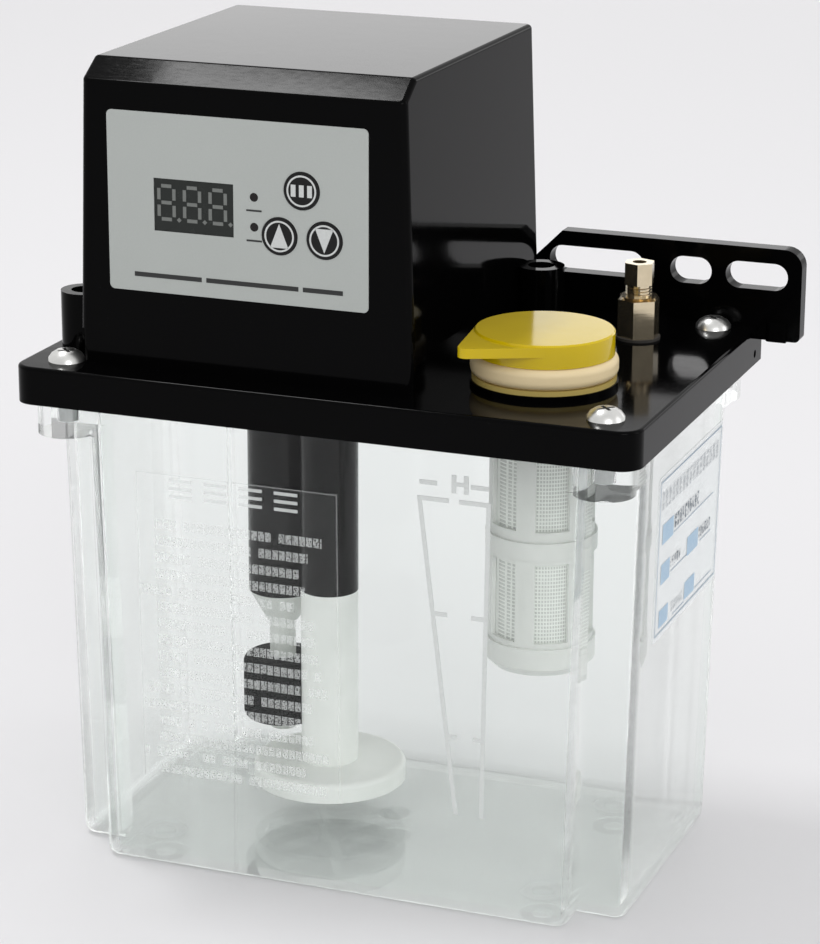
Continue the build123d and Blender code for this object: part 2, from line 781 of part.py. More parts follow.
# ---------------------------------------------------------------- housing
with BuildPart() as housing:
    with BuildSketch(Plane.XY.offset(split_z)):
        with Locations((housing_x, housing_y)):
            Rectangle(housing_width, housing_depth)
    with BuildSketch(Plane.XY.offset(housing_top_z)):
        with Locations((housing_x, housing_y - housing_rear_lean / 2)):
            Rectangle(housing_width - 2 * housing_taper, housing_depth - housing_rear_lean)
    loft()
    front_face = housing.faces().sort_by(Axis.Y)[0]
    front_top = front_face.edges().sort_by(Axis.Z)[-1]
    chamfer(front_top, length=bevel_drop, length2=bevel_run, reference=front_face)
    offset(amount=-housing_wall, openings=housing.faces().sort_by(Axis.Z)[0])
    upright = [
        e
        for e in housing.edges()
        if abs(e.tangent_at(0.5).Z) > 0.99
        and abs(e.center().X - housing_x) > housing_width / 2 - housing_wall
        and abs(e.center().Y - housing_y) > housing_depth / 2 - housing_wall
    ]
    fillet(upright, housing_corner)
    crown = [
        e
        for e in housing.edges()
        if e.center().Z > housing_top_z - bevel_drop - pick_slack
        and abs(e.tangent_at(0.5).Z) < 0.8
        and (
            e.center().Z > housing_top_z - pick_slack
            or e.center().Y < housing_front_y + housing_wall / 2
            or abs(e.center().X - housing_x) > housing_width / 2 - housing_taper - housing_wall / 2
        )
    ]
    fillet(crown, housing_edge)
    # Lugs that take the housing screws
    with BuildSketch(Plane.XY.offset(split_z)):
        with Locations(*lug_spots):
            Circle(lug_radius)
        with Locations((housing_x, housing_y)):
            Rectangle(
                housing_width - 2 * housing_wall + joint_gap,
                housing_depth - 2 * housing_wall,
                mode=Mode.SUBTRACT,
            )
    extrude(amount=lug_rise)
    with BuildSketch(Plane.XY.offset(split_z + lug_rise)):
        with Locations(*lug_spots):
            Circle(lug_bore)
    extrude(amount=-lug_bore_depth, mode=Mode.SUBTRACT)
    with BuildSketch(Plane.XY.offset(split_z + lug_rise)):
        with Locations(*lug_spots):
            Circle(lug_screw_radius + screw_clearance)
    extrude(amount=-lug_rise, mode=Mode.SUBTRACT)
    # Pad and hole for the cable gland
    with BuildSketch(Plane.YZ.offset(housing_left_x - gland_pad)):
        with Locations((gland_y, plate_top_z + gland_rise)):
            Circle(gland_pad_radius)
    extrude(amount=gland_grip)
    with BuildSketch(Plane.YZ.offset(housing_left_x - gland_pad)):
        with Locations((gland_y, plate_top_z + gland_rise)):
            Circle(gland_radius + gland_gap)
    extrude(amount=gland_grip, mode=Mode.SUBTRACT)
    # Posts for the control board, inside the front wall
    with BuildSketch(front_plane.offset(-housing_wall)):
        with Locations(*post_spots):
            Circle(post_radius)
    extrude(amount=-board_gap)
    with BuildSketch(board_plane):
        with Locations(*post_spots):
            Circle(board_screw_radius + thread_gap)
    extrude(amount=board_gap, mode=Mode.SUBTRACT)
    # Openings for the display, the lamps and the keys
    with BuildSketch(front_plane):
        with Locations(*above_plate([window_at])):
            Rectangle(window_width, window_height)
        with Locations(*above_plate(lamps_at)):
            Circle(lamp_radius + lamp_gap)
        with Locations(*above_plate(keys_at.values())):
            Circle(key_plunger_radius + key_plunger_gap)
    extrude(amount=-housing_wall, mode=Mode.SUBTRACT)
    with BuildSketch(front_plane):
        with Locations(*above_plate(keys_at.values())):
            Circle(key_radius + key_gap)
    extrude(amount=-key_recess, mode=Mode.SUBTRACT)
housing.part.label = "housing"
export_step(housing.part, "parts/housing.step")

lug_seat_z = split_z + lug_rise - lug_bore_depth
with BuildPart() as housing_screws:
    with BuildSketch(Plane.XY.offset(lug_seat_z)):
        with Locations(*lug_spots):
            Circle(lug_screw_radius)
    extrude(amount=-lug_screw_length)
    with BuildSketch(Plane.XY.offset(lug_seat_z)):
        with Locations(*lug_spots):
            Circle(lug_screw_head)
    extrude(amount=lug_screw_head_height, taper=lug_screw_head_taper)
    with BuildSketch(Plane.XY.offset(lug_seat_z + lug_screw_head_height)):
        with Locations(*lug_spots):
            Rectangle(lug_screw_head, lug_cross_width)
            Rectangle(lug_cross_width, lug_screw_head)
    extrude(amount=-lug_cross_depth, mode=Mode.SUBTRACT)
housing_screws.part.label = "housing_screws"
export_step(housing_screws.part, "parts/housing_screws.step")

# ---------------------------------------------------------------- cable gland
gland_face_x = housing_left_x - gland_pad
gland_plane = Plane(
    origin=(gland_face_x, gland_y, plate_top_z + gland_rise), x_dir=(0, 1, 0), z_dir=(-1, 0, 0)
)
gland_thread_length = gland_grip + gland_nut_thick + gland_thread_spare
with BuildPart() as cable_gland:
    with BuildSketch(gland_plane):
        RegularPolygon(gland_hex / 2, 6, major_radius=False)
    extrude(amount=gland_hex_thick)
    with BuildSketch(gland_plane):
        Circle(gland_radius)
    extrude(amount=-gland_thread_length)
    with BuildSketch(gland_plane.offset(-gland_thread_length)):
        Circle(gland_bore)
    extrude(amount=gland_thread_length + gland_hex_thick, mode=Mode.SUBTRACT)
cable_gland.part.label = "cable_gland"
export_step(cable_gland.part, "parts/cable_gland.step")

with BuildPart() as gland_cap:
    with BuildSketch(gland_plane.offset(gland_hex_thick)):
        Circle(gland_cap_radius)
    extrude(amount=gland_cap_length)
    chamfer(
        gland_cap.edges().sort_by(Axis.X)[0],
        length=gland_cap_radius - gland_mouth_radius,
        length2=gland_cap_crown,
        reference=gland_cap.faces().sort_by(Axis.X)[0],
    )
    with BuildSketch(gland_plane.offset(gland_hex_thick)):
        Circle(gland_bore)
    extrude(amount=gland_cap_length, mode=Mode.SUBTRACT)
gland_cap.part.label = "gland_cap"
export_step(gland_cap.part, "parts/gland_cap.step")

with BuildPart() as gland_locknut:
    with BuildSketch(gland_plane.offset(-gland_grip)):
        RegularPolygon(gland_hex / 2, 6, major_radius=False)
        Circle(gland_radius + thread_gap, mode=Mode.SUBTRACT)
    extrude(amount=-gland_nut_thick)
gland_locknut.part.label = "gland_locknut"
export_step(gland_locknut.part, "parts/gland_locknut.step")

# ---------------------------------------------------------------- operating panel
with BuildPart() as panel_label:
    with BuildSketch(front_plane):
        with Locations(*above_plate([(panel_x, panel_rise)])):
            RectangleRounded(panel_width, panel_height, panel_corner)
        with Locations(*above_plate([window_at])):
            Rectangle(window_width, window_height, mode=Mode.SUBTRACT)
        with Locations(*above_plate(lamps_at)):
            Circle(lamp_radius + lamp_gap, mode=Mode.SUBTRACT)
        with Locations(*above_plate(keys_at.values())):
            Circle(key_radius + key_gap, mode=Mode.SUBTRACT)
    extrude(amount=panel_thick)
panel_label.part.label = "panel_label"
export_step(panel_label.part, "parts/panel_label.step")

with BuildPart() as display_module:
    with BuildSketch(board_plane):
        with Locations(*above_plate([window_at])):
            Rectangle(window_width - 2 * window_gap, window_height - 2 * window_gap)
    extrude(amount=board_front_y - housing_front_y)
display_module.part.label = "display_module"
export_step(display_module.part, "parts/display_module.step")

bar_length = digit_width - 2 * digit_stroke - 2 * digit_gap
leg_length = digit_height / 2 - 1.5 * digit_stroke - 2 * digit_gap
leg_rise = digit_height / 4 - digit_stroke / 4
with BuildPart() as display_segments:
    with BuildSketch(front_plane):
        for digit in (-1, 0, 1):
            middle = window_at[0] + digit * digit_pitch - digit_stroke / 2
            level = window_at[1] + digit_rise
            bars = [(middle, level + step * (digit_height - digit_stroke) / 2) for step in (-1, 0, 1)]
            legs = [
                (middle + side * (digit_width - digit_stroke) / 2, level + step * leg_rise)
                for side in (-1, 1)
                for step in (-1, 1)
            ]
            point = (middle + digit_width / 2 + digit_stroke, level - (digit_height - digit_stroke) / 2)
            with Locations(*above_plate(bars)):
                Rectangle(bar_length, digit_stroke)
            with Locations(*above_plate(legs)):
                Rectangle(digit_stroke, leg_length)
            with Locations(*above_plate([point])):
                Rectangle(digit_stroke, digit_stroke, rotation=45)
    extrude(amount=digit_thick)
display_segments.part.label = "display_segments"
export_step(display_segments.part, "parts/display_segments.step")

with BuildPart() as status_lamps:
    with BuildSketch(board_plane):
        with Locations(*above_plate(lamps_at)):
            Circle(lamp_radius)
    extrude(amount=board_front_y - housing_front_y + panel_thick)
status_lamps.part.label = "status_lamps"
export_step(status_lamps.part, "parts/status_lamps.step")

key_face_y = housing_front_y - panel_thick - key_proud
for key, spot in keys_at.items():
    with BuildPart() as key_button:
        with BuildSketch(Plane.XZ.offset(-key_face_y)):
            with Locations(*above_plate([spot])):
                Circle(key_radius)
        extrude(amount=-key_thick)
        with BuildSketch(Plane.XZ.offset(-key_face_y - key_thick)):
            with Locations(*above_plate([spot])):
                Circle(key_plunger_radius)
        extrude(amount=-key_plunger_length)
    key_button.part.label = f"key_{key}"
    export_step(key_button.part, f"parts/key_{key}.step")

# ---------------------------------------------------------------- control board
with BuildPart() as control_board:
    with BuildSketch(board_plane):
        with Locations((board_x, board_z)):
            Rectangle(board_width, board_height)
        with Locations(*post_spots):
            Circle(board_screw_radius + screw_clearance, mode=Mode.SUBTRACT)
    extrude(amount=-board_thick)
control_board.part.label = "control_board"
export_step(control_board.part, "parts/control_board.step")

with BuildPart() as board_screws:
    with BuildSketch(board_back_plane):
        with Locations(*post_spots):
            Circle(board_screw_head)
    extrude(amount=-board_screw_head_height)
    with BuildSketch(board_back_plane):
        with Locations(*post_spots):
            Circle(board_screw_radius)
    extrude(amount=board_screw_length)
board_screws.part.label = "board_screws"
export_step(board_screws.part, "parts/board_screws.step")

plunger_tip_y = key_face_y + key_thick + key_plunger_length
button_top = board_front_y - plunger_tip_y - key_travel - running_gap
with BuildPart() as key_switches:
    with BuildSketch(board_plane):
        with Locations(*above_plate(keys_at.values())):
            Rectangle(switch_size, switch_size)
    extrude(amount=switch_case_share * button_top)
    with BuildSketch(board_plane):
        with Locations(*above_plate(keys_at.values())):
            Circle(switch_button_radius)
    extrude(amount=button_top)
key_switches.part.label = "key_switches"
export_step(key_switches.part, "parts/key_switches.step")

with BuildPart() as transformer:
    with BuildSketch(board_back_plane):
        with Locations((board_x + transformer_shift, board_z)):
            RectangleRounded(transformer_size[0], transformer_size[2], transformer_corner)
    extrude(amount=-transformer_size[1])
transformer.part.label = "transformer"
export_step(transformer.part, "parts/transformer.step")

terminal_at = (board_x + terminal_shift[0], board_z + terminal_shift[1])
terminal_pitch = terminal_size[0] / terminal_ways
with BuildPart() as terminal_block:
    with BuildSketch(board_back_plane):
        with Locations(terminal_at):
            Rectangle(terminal_size[0], terminal_size[2])
    extrude(amount=-terminal_size[1])
    with BuildSketch(board_back_plane.offset(-terminal_size[1])):
        with Locations(terminal_at):
            with GridLocations(terminal_pitch, 1, terminal_ways, 1):
                Rectangle(terminal_pitch - terminal_web, terminal_size[2] - 2 * terminal_edge)
    extrude(amount=terminal_pocket_depth, mode=Mode.SUBTRACT)
terminal_block.part.label = "terminal_block"
export_step(terminal_block.part, "parts/terminal_block.step")

# ---------------------------------------------------------------- motor
bearing_low_z = motor_z
bearing_high_z = motor_cap_z + motor_cap_height + motor_boss_height - bearing_length - bearing_stop
with BuildPart() as motor_case:
    with BuildSketch(Plane.XY.offset(motor_z)):
        with Locations((pump_x, drive_y)):
            RectangleRounded(motor_flange, motor_flange, motor_flange_corner)
        with Locations(*motor_spots):
            Circle(motor_screw_radius + screw_clearance, mode=Mode.SUBTRACT)
    extrude(amount=motor_flange_thick)
    with BuildSketch(Plane.XY.offset(motor_z)):
        with Locations((pump_x, drive_y)):
            Circle(motor_radius)
    extrude(amount=motor_length)
    with BuildSketch(Plane.XY.offset(motor_cap_z)):
        with Locations((pump_x, drive_y)):
            Circle(motor_radius - motor_wall)
    extrude(amount=bearing_length + bearing_stop - motor_length, mode=Mode.SUBTRACT)
    with BuildSketch(Plane.XY.offset(motor_z)):
        with Locations((pump_x, drive_y)):
            Circle(bearing_radius + press_gap)
    extrude(amount=bearing_length, mode=Mode.SUBTRACT)
    with BuildSketch(Plane.XY.offset(motor_z)):
        with Locations((pump_x, drive_y)):
            Circle(motor_shaft_radius + motor_shaft_clearance)
    extrude(amount=motor_length, mode=Mode.SUBTRACT)
motor_case.part.label = "motor_case"
export_step(motor_case.part, "parts/motor_case.step")

with BuildPart() as motor_cap:
    with BuildSketch(Plane.XY.offset(motor_cap_z)):
        with Locations((pump_x, drive_y)):
            Circle(motor_radius)
    extrude(amount=motor_cap_height)
    with BuildSketch(Plane.XY.offset(motor_cap_z + motor_cap_height)):
        with Locations((pump_x, drive_y)):
            Circle(motor_boss_radius)
    extrude(amount=motor_boss_height)
    with BuildSketch(Plane.XY.offset(motor_cap_z)):
        with Locations((pump_x, drive_y)):
            Circle(bearing_radius + press_gap)
    extrude(amount=motor_cap_height + motor_boss_height - bearing_stop, mode=Mode.SUBTRACT)
motor_cap.part.label = "motor_cap"
export_step(motor_cap.part, "parts/motor_cap.step")

with BuildPart() as motor_bearings:
    for bearing_z in (bearing_low_z, bearing_high_z):
        with BuildSketch(Plane.XY.offset(bearing_z)):
            with Locations((pump_x, drive_y)):
                Circle(bearing_radius)
                Circle(motor_shaft_radius + running_gap, mode=Mode.SUBTRACT)
        extrude(amount=bearing_length)
motor_bearings.part.label = "motor_bearings"
export_step(motor_bearings.part, "parts/motor_bearings.step")

rotor_mid_z = motor_z + (bearing_length + bearing_stop + motor_length) / 2
with BuildPart() as motor_stator:
    with BuildSketch(Plane.XY.offset(rotor_mid_z - stator_length / 2)):
        with Locations((pump_x, drive_y)):
            Circle(motor_radius - motor_wall - press_gap)
            Circle(stator_bore, mode=Mode.SUBTRACT)
    extrude(amount=stator_length)
motor_stator.part.label = "motor_stator"
export_step(motor_stator.part, "parts/motor_stator.step")

with BuildPart() as motor_rotor:
    with BuildSketch(Plane.XY.offset(rotor_mid_z - rotor_length / 2)):
        with Locations((pump_x, drive_y)):
            Circle(rotor_radius)
            Circle(motor_shaft_radius + press_gap, mode=Mode.SUBTRACT)
    extrude(amount=rotor_length)
motor_rotor.part.label = "motor_rotor"
export_step(motor_rotor.part, "parts/motor_rotor.step")

motor_shaft_z = motor_z - motor_shaft_reach
with BuildPart() as motor_shaft:
    with BuildSketch(Plane.XY.offset(motor_shaft_z)):
        with Locations((pump_x, drive_y)):
            Circle(motor_shaft_radius)
    extrude(amount=bearing_high_z + bearing_length - motor_shaft_z)
motor_shaft.part.label = "motor_shaft"
export_step(motor_shaft.part, "parts/motor_shaft.step")

with BuildPart() as motor_screws:
    with BuildSketch(Plane.XY.offset(motor_z + motor_flange_thick)):
        with Locations(*motor_spots):
            Circle(motor_screw_head)
    extrude(amount=motor_screw_head_height)
    with BuildSketch(Plane.XY.offset(motor_z + motor_flange_thick)):
        with Locations(*motor_spots):
            Circle(motor_screw_radius)
    extrude(amount=-motor_screw_length)
motor_screws.part.label = "motor_screws"
export_step(motor_screws.part, "parts/motor_screws.step")

coupling_z = plate_top_z + seal_collar_height + coupling_gap
with BuildPart() as shaft_coupling:
    with BuildSketch(Plane.XY.offset(coupling_z)):
        with Locations((pump_x, drive_y)):
            Circle(coupling_radius)
    extrude(amount=coupling_length)
    with BuildSketch(Plane.XY.offset(coupling_z)):
        with Locations((pump_x, drive_y)):
            Circle(pump_shaft_radius + press_gap)
    extrude(amount=coupling_length, mode=Mode.SUBTRACT)
    with BuildSketch(Plane.XY.offset(motor_shaft_z)):
        with Locations((pump_x, drive_y)):
            Circle(motor_shaft_radius + press_gap)
    extrude(amount=motor_shaft_reach, mode=Mode.SUBTRACT)
shaft_coupling.part.label = "shaft_coupling"
export_step(shaft_coupling.part, "parts/shaft_coupling.step")

# ---------------------------------------------------------------- gear pump
gear_foot_z = column_foot_z + gear_end_gap
shaft_foot_z = end_plate_z + end_plate_skin
with BuildPart() as pump_shaft:
    with BuildSketch(Plane.XY.offset(shaft_foot_z)):
        with Locations((pump_x, drive_y)):
            Circle(pump_shaft_radius)
    extrude(amount=motor_shaft_z - shaft_foot_z - joint_gap)
pump_shaft.part.label = "pump_shaft"
export_step(pump_shaft.part, "parts/pump_shaft.step")

with BuildPart() as drive_gear:
    with BuildSketch(Plane((pump_x, drive_y, gear_foot_z))):
        draw_gear()
        Circle(pump_shaft_radius + press_gap, mode=Mode.SUBTRACT)
    extrude(amount=gear_thick)
drive_gear.part.label = "drive_gear"
export_step(drive_gear.part, "parts/drive_gear.step")

half_tooth = 180 / gear_teeth
with BuildPart() as driven_gear:
    with BuildSketch(
        Plane(
            origin=(pump_x, driven_y, gear_foot_z),
            x_dir=(cos(radians(half_tooth)), sin(radians(half_tooth)), 0),
            z_dir=(0, 0, 1),
        )
    ):
        draw_gear()
        Circle(pin_radius + running_gap, mode=Mode.SUBTRACT)
    extrude(amount=gear_thick)
driven_gear.part.label = "driven_gear"
export_step(driven_gear.part, "parts/driven_gear.step")

with BuildPart() as gear_pin:
    with BuildSketch(Plane.XY.offset(shaft_foot_z)):
        with Locations((pump_x, driven_y)):
            Circle(pin_radius)
    extrude(amount=chamber_top_z + bush_length - shaft_foot_z)
gear_pin.part.label = "gear_pin"
export_step(gear_pin.part, "parts/gear_pin.step")

with BuildPart() as pump_column:
    with BuildSketch(Plane.XY.offset(column_foot_z)):
        with Locations((pump_x, pump_y)):
            Circle(column_radius)
    extrude(amount=column_length)
    with BuildSketch(Plane.XY.offset(rim_z)):
        with Locations((pump_x, pump_y)):
            Circle(pump_flange_radius)
            with PolarLocations(pump_bolt_circle, 3, pump_bolt_turn):
                Circle(pump_screw_radius + screw_clearance, mode=Mode.SUBTRACT)
    extrude(amount=pump_flange_thick)
    with BuildSketch(Plane.XY.offset(plug_top_z)):
        with Locations((pump_x, pump_y)):
            Circle(column_bore)
    extrude(amount=rim_z + pump_flange_thick - plug_top_z, mode=Mode.SUBTRACT)
    with BuildSketch(Plane.XY.offset(column_foot_z)):
        with Locations((pump_x, drive_y), (pump_x, driven_y)):
            Circle(gear_outer + chamber_gap)
    extrude(amount=chamber_top_z - column_foot_z, mode=Mode.SUBTRACT)
    with BuildSketch(Plane.XY.offset(chamber_top_z)):
        with Locations((pump_x, drive_y)):
            Circle(bush_radius + press_gap)
        with Locations((pump_x, driven_y)):
            Circle(pin_radius + press_gap)
    extrude(amount=bush_length, mode=Mode.SUBTRACT)
    with BuildSketch(Plane.XY.offset(chamber_top_z)):
        with Locations((pump_x, drive_y)):
            Circle(pump_shaft_radius + joint_gap)
        with Locations((pump_x - gear_pitch / 2, pump_y)):
            Circle(port_radius)
    extrude(amount=plug_length, mode=Mode.SUBTRACT)
pump_column.part.label = "pump_column"
export_step(pump_column.part, "parts/pump_column.step")

with BuildPart() as pump_bushes:
    foot_bush = (shaft_foot_z, end_plate_thick - end_plate_skin)
    for bush_z, length in ((chamber_top_z, bush_length), foot_bush):
        with BuildSketch(Plane.XY.offset(bush_z)):
            with Locations((pump_x, drive_y)):
                Circle(bush_radius)
                Circle(pump_shaft_radius + running_gap, mode=Mode.SUBTRACT)
        extrude(amount=length)
pump_bushes.part.label = "pump_bushes"
export_step(pump_bushes.part, "parts/pump_bushes.step")

with BuildPart() as pump_end_plate:
    with BuildSketch(Plane.XY.offset(end_plate_z)):
        with Locations((pump_x, pump_y)):
            Circle(column_radius)
    extrude(amount=end_plate_thick)
    with BuildSketch(Plane.XY.offset(shaft_foot_z)):
        with Locations((pump_x, drive_y)):
            Circle(bush_radius + press_gap)
        with Locations((pump_x, driven_y)):
            Circle(pin_radius + press_gap)
    extrude(amount=end_plate_thick - end_plate_skin, mode=Mode.SUBTRACT)
    with BuildSketch(Plane.XY.offset(end_plate_z)):
        with Locations((pump_x + gear_pitch / 2, pump_y)):
            Circle(port_radius)
    extrude(amount=end_plate_thick, mode=Mode.SUBTRACT)
pump_end_plate.part.label = "pump_end_plate"
export_step(pump_end_plate.part, "parts/pump_end_plate.step")

with BuildPart() as shaft_seal:
    with BuildSketch(Plane.XY.offset(plate_top_z + seal_collar_height - seal_length)):
        with Locations((pump_x, drive_y)):
            Circle(seal_radius)
            Circle(pump_shaft_radius + running_gap, mode=Mode.SUBTRACT)
    extrude(amount=seal_length)
shaft_seal.part.label = "shaft_seal"
export_step(shaft_seal.part, "parts/shaft_seal.step")

with BuildPart() as pump_screws:
    with BuildSketch(Plane.XY.offset(rim_z)):
        with Locations((pump_x, pump_y)):
            with PolarLocations(pump_bolt_circle, 3, pump_bolt_turn):
                Circle(pump_screw_head)
    extrude(amount=-pump_screw_head_height)
    with BuildSketch(Plane.XY.offset(rim_z)):
        with Locations((pump_x, pump_y)):
            with PolarLocations(pump_bolt_circle, 3, pump_bolt_turn):
                Circle(pump_screw_radius)
    extrude(amount=pump_screw_length)
pump_screws.part.label = "pump_screws"
export_step(pump_screws.part, "parts/pump_screws.step")

# ---------------------------------------------------------------- suction tube and strainer
tube_foot_z = strainer_top_z - strainer_socket
with BuildPart() as suction_tube:
    with BuildSketch(Plane.XY.offset(tube_foot_z)):
        with Locations((pump_x, pump_y)):
            Circle(tube_radius)
            Circle(tube_radius - tube_wall, mode=Mode.SUBTRACT)
    extrude(amount=end_plate_z - tube_foot_z)
suction_tube.part.label = "suction_tube"
export_step(suction_tube.part, "parts/suction_tube.step")

strainer_axis = Axis((pump_x, pump_y, 0), (0, 0, 1))
strainer_section = Plane(origin=(pump_x, pump_y, 0), x_dir=(1, 0, 0), z_dir=(0, -1, 0))
with BuildPart() as strainer_cover:
    with BuildSketch(strainer_section):
        with BuildLine():
            Polyline(
                (tube_radius - tube_wall, strainer_top_z),
                (strainer_radius - strainer_edge, strainer_top_z),
            )
            ThreePointArc(
                (strainer_radius - strainer_edge, strainer_top_z),
                (
                    strainer_radius - strainer_edge * (1 - cos(radians(45))),
                    strainer_top_z - strainer_edge * (1 - sin(radians(45))),
                ),
                (strainer_radius, strainer_top_z - strainer_edge),
            )
            Polyline(
                (strainer_radius, strainer_top_z - strainer_edge),
                (strainer_radius, strainer_split_z),
                (strainer_radius - strainer_rim, strainer_split_z),
                (strainer_radius - strainer_rim, strainer_top_z - strainer_cover_wall),
                (tube_radius - tube_wall, strainer_top_z - strainer_cover_wall - strainer_socket),
                (tube_radius - tube_wall, strainer_top_z),
            )
        make_face()
    revolve(axis=strainer_axis)
    with BuildSketch(Plane.XY.offset(strainer_top_z)):
        with Locations((pump_x, pump_y)):
            Circle(tube_radius + press_gap)
    extrude(amount=-strainer_socket, mode=Mode.SUBTRACT)
strainer_cover.part.label = "strainer_cover"
export_step(strainer_cover.part, "parts/strainer_cover.step")

window_pitch = 360 / strainer_windows
with BuildPart() as strainer_base:
    with BuildSketch(Plane.XY.offset(strainer_z)):
        with Locations((pump_x, pump_y)):
            Circle(strainer_radius)
            Circle(strainer_radius - strainer_rim, mode=Mode.SUBTRACT)
            Circle(strainer_hub)
            for spoke in range(strainer_windows // 2):
                turn = spoke * window_pitch
                Rectangle(2 * strainer_radius - strainer_rim, strainer_spoke, rotation=turn)
    extrude(amount=strainer_base_thick)
    with BuildSketch(Plane.XY.offset(strainer_split_z)):
        with Locations((pump_x, pump_y)):
            Circle(strainer_radius - strainer_rim + strainer_mesh_lap)
    extrude(amount=-strainer_mesh_thick, mode=Mode.SUBTRACT)
strainer_base.part.label = "strainer_base"
export_step(strainer_base.part, "parts/strainer_base.step")

with BuildPart() as strainer_mesh:
    with BuildSketch(Plane.XY.offset(strainer_split_z - strainer_mesh_thick)):
        with Locations((pump_x, pump_y)):
            Circle(strainer_radius - strainer_rim + strainer_mesh_lap - groove_gap)
    extrude(amount=strainer_mesh_thick)
strainer_mesh.part.label = "strainer_mesh"
export_step(strainer_mesh.part, "parts/strainer_mesh.step")

# ---------------------------------------------------------------- level switch
with BuildPart() as switch_body:
    with BuildSketch(Plane.XY.offset(switch_foot_z)):
        with Locations((switch_x, switch_y)):
            Circle(switch_radius)
    extrude(amount=switch_body_length)
    with BuildSketch(Plane.XY.offset(rim_z)):
        with Locations((switch_x, switch_y)):
            Circle(switch_neck_radius)
    extrude(amount=plate_thick + switch_neck_height)
switch_body.part.label = "switch_body"
export_step(switch_body.part, "parts/switch_body.step")

with BuildPart() as switch_nut_piece:
    with BuildSketch(Plane.XY.offset(plate_top_z)):
        with Locations((switch_x, switch_y)):
            RegularPolygon(switch_nut / 2, 6, major_radius=False)
            Circle(switch_neck_radius + thread_gap, mode=Mode.SUBTRACT)
    extrude(amount=switch_nut_thick)
switch_nut_piece.part.label = "switch_nut"
export_step(switch_nut_piece.part, "parts/switch_nut.step")

clip_z = float_z - clip_gap - clip_thick
with BuildPart() as switch_stem:
    with BuildSketch(Plane.XY.offset(switch_foot_z)):
        with Locations((switch_x, switch_y)):
            Circle(switch_radius)
    with BuildSketch(Plane.XY.offset(cone_foot_z)):
        with Locations((switch_x, switch_y)):
            Circle(switch_cone_tip)
    loft()
    with BuildSketch(Plane.XY.offset(cone_foot_z)):
        with Locations((switch_x, switch_y)):
            Circle(switch_stem_radius)
    extrude(amount=-switch_stem_length)
    with BuildSketch(Plane.XY.offset(clip_z)):
        with Locations((switch_x, switch_y)):
            Circle(switch_stem_radius)
            Circle(clip_mouth, mode=Mode.SUBTRACT)
    extrude(amount=clip_thick, mode=Mode.SUBTRACT)
switch_stem.part.label = "switch_stem"
export_step(switch_stem.part, "parts/switch_stem.step")

with BuildPart() as level_float:
    with BuildSketch(Plane.XY.offset(float_z)):
        with Locations((switch_x, switch_y)):
            Circle(float_radius)
    extrude(amount=float_height)
    fillet(level_float.edges().filter_by(GeomType.CIRCLE), float_round)
    with BuildSketch(Plane.XY.offset(float_z)):
        with Locations((switch_x, switch_y)):
            Circle(switch_stem_radius + float_gap)
    extrude(amount=float_height, mode=Mode.SUBTRACT)
level_float.part.label = "level_float"
export_step(level_float.part, "parts/level_float.step")

with BuildPart() as float_clip:
    with BuildSketch(Plane.XY.offset(clip_z)):
        with Locations((switch_x, switch_y)):
            Circle(clip_radius)
            Circle(clip_mouth + press_gap, mode=Mode.SUBTRACT)
        with Locations((switch_x - clip_radius, switch_y)):
            Rectangle(2 * clip_radius, clip_throat, mode=Mode.SUBTRACT)
    extrude(amount=clip_thick)
float_clip.part.label = "float_clip"
export_step(float_clip.part, "parts/float_clip.step")

# ---------------------------------------------------------------- filler basket
ring_z = rim_z - basket_ring_depth
cup_z = basket_foot_z + basket_cup_height
upper_windows = (ring_z + basket_window_margin, rim_z - basket_window_top)
lower_windows = (cup_z + basket_window_margin / 2, ring_z - basket_ring_height - basket_window_margin / 2)
with BuildPart() as filler_basket:
    with BuildSketch(Plane.XY.offset(basket_foot_z)):
        with Locations((filler_x, filler_y)):
            Circle(basket_radius)
    extrude(amount=lid_z - basket_foot_z)
    with BuildSketch(Plane.XY.offset(flange_z)):
        with Locations((filler_x, filler_y)):
            Circle(basket_flange_radius)
    extrude(amount=basket_flange_height)
    flange_edges = [
        e
        for e in filler_basket.edges().filter_by(GeomType.CIRCLE)
        if abs(e.radius - basket_flange_radius) < 0.01
    ]
    fillet(flange_edges, basket_flange_round)
    with BuildSketch(Plane.XY.offset(basket_foot_z)):
        with Locations((filler_x, filler_y)):
            Circle(basket_cup_radius)
    extrude(amount=basket_cup_height)
    chamfer(filler_basket.faces().sort_by(Axis.Z)[0].edges(), basket_cup_chamfer)
    with BuildSketch(Plane.XY.offset(ring_z)):
        with Locations((filler_x, filler_y)):
            Circle(basket_ring_radius)
    extrude(amount=-basket_ring_height)
    with BuildSketch(Plane.XY.offset(lid_z)):
        with Locations((filler_x, filler_y)):
            Circle(basket_bore)
    extrude(amount=-basket_flange_height, mode=Mode.SUBTRACT)
    with BuildSketch(Plane.XY.offset(flange_z)):
        with Locations((filler_x, filler_y)):
            Circle(basket_radius - basket_wall)
    extrude(amount=basket_foot_z + basket_floor - flange_z, mode=Mode.SUBTRACT)
    for low, high in (upper_windows, lower_windows):
        with BuildSketch(Plane.XY.offset(low)):
            with Locations((filler_x, filler_y)):
                for window in range(basket_windows):
                    middle = radians(window * 360 / basket_windows + tab_direction)
                    spread = radians(basket_window_angle / 2)
                    reach = 2 * basket_radius
                    Polygon(
                        (0, 0),
                        (reach * cos(middle - spread), reach * sin(middle - spread)),
                        (reach * cos(middle + spread), reach * sin(middle + spread)),
                        align=None,
                    )
        extrude(amount=high - low, mode=Mode.SUBTRACT)
filler_basket.part.label = "filler_basket"
export_step(filler_basket.part, "parts/filler_basket.step")

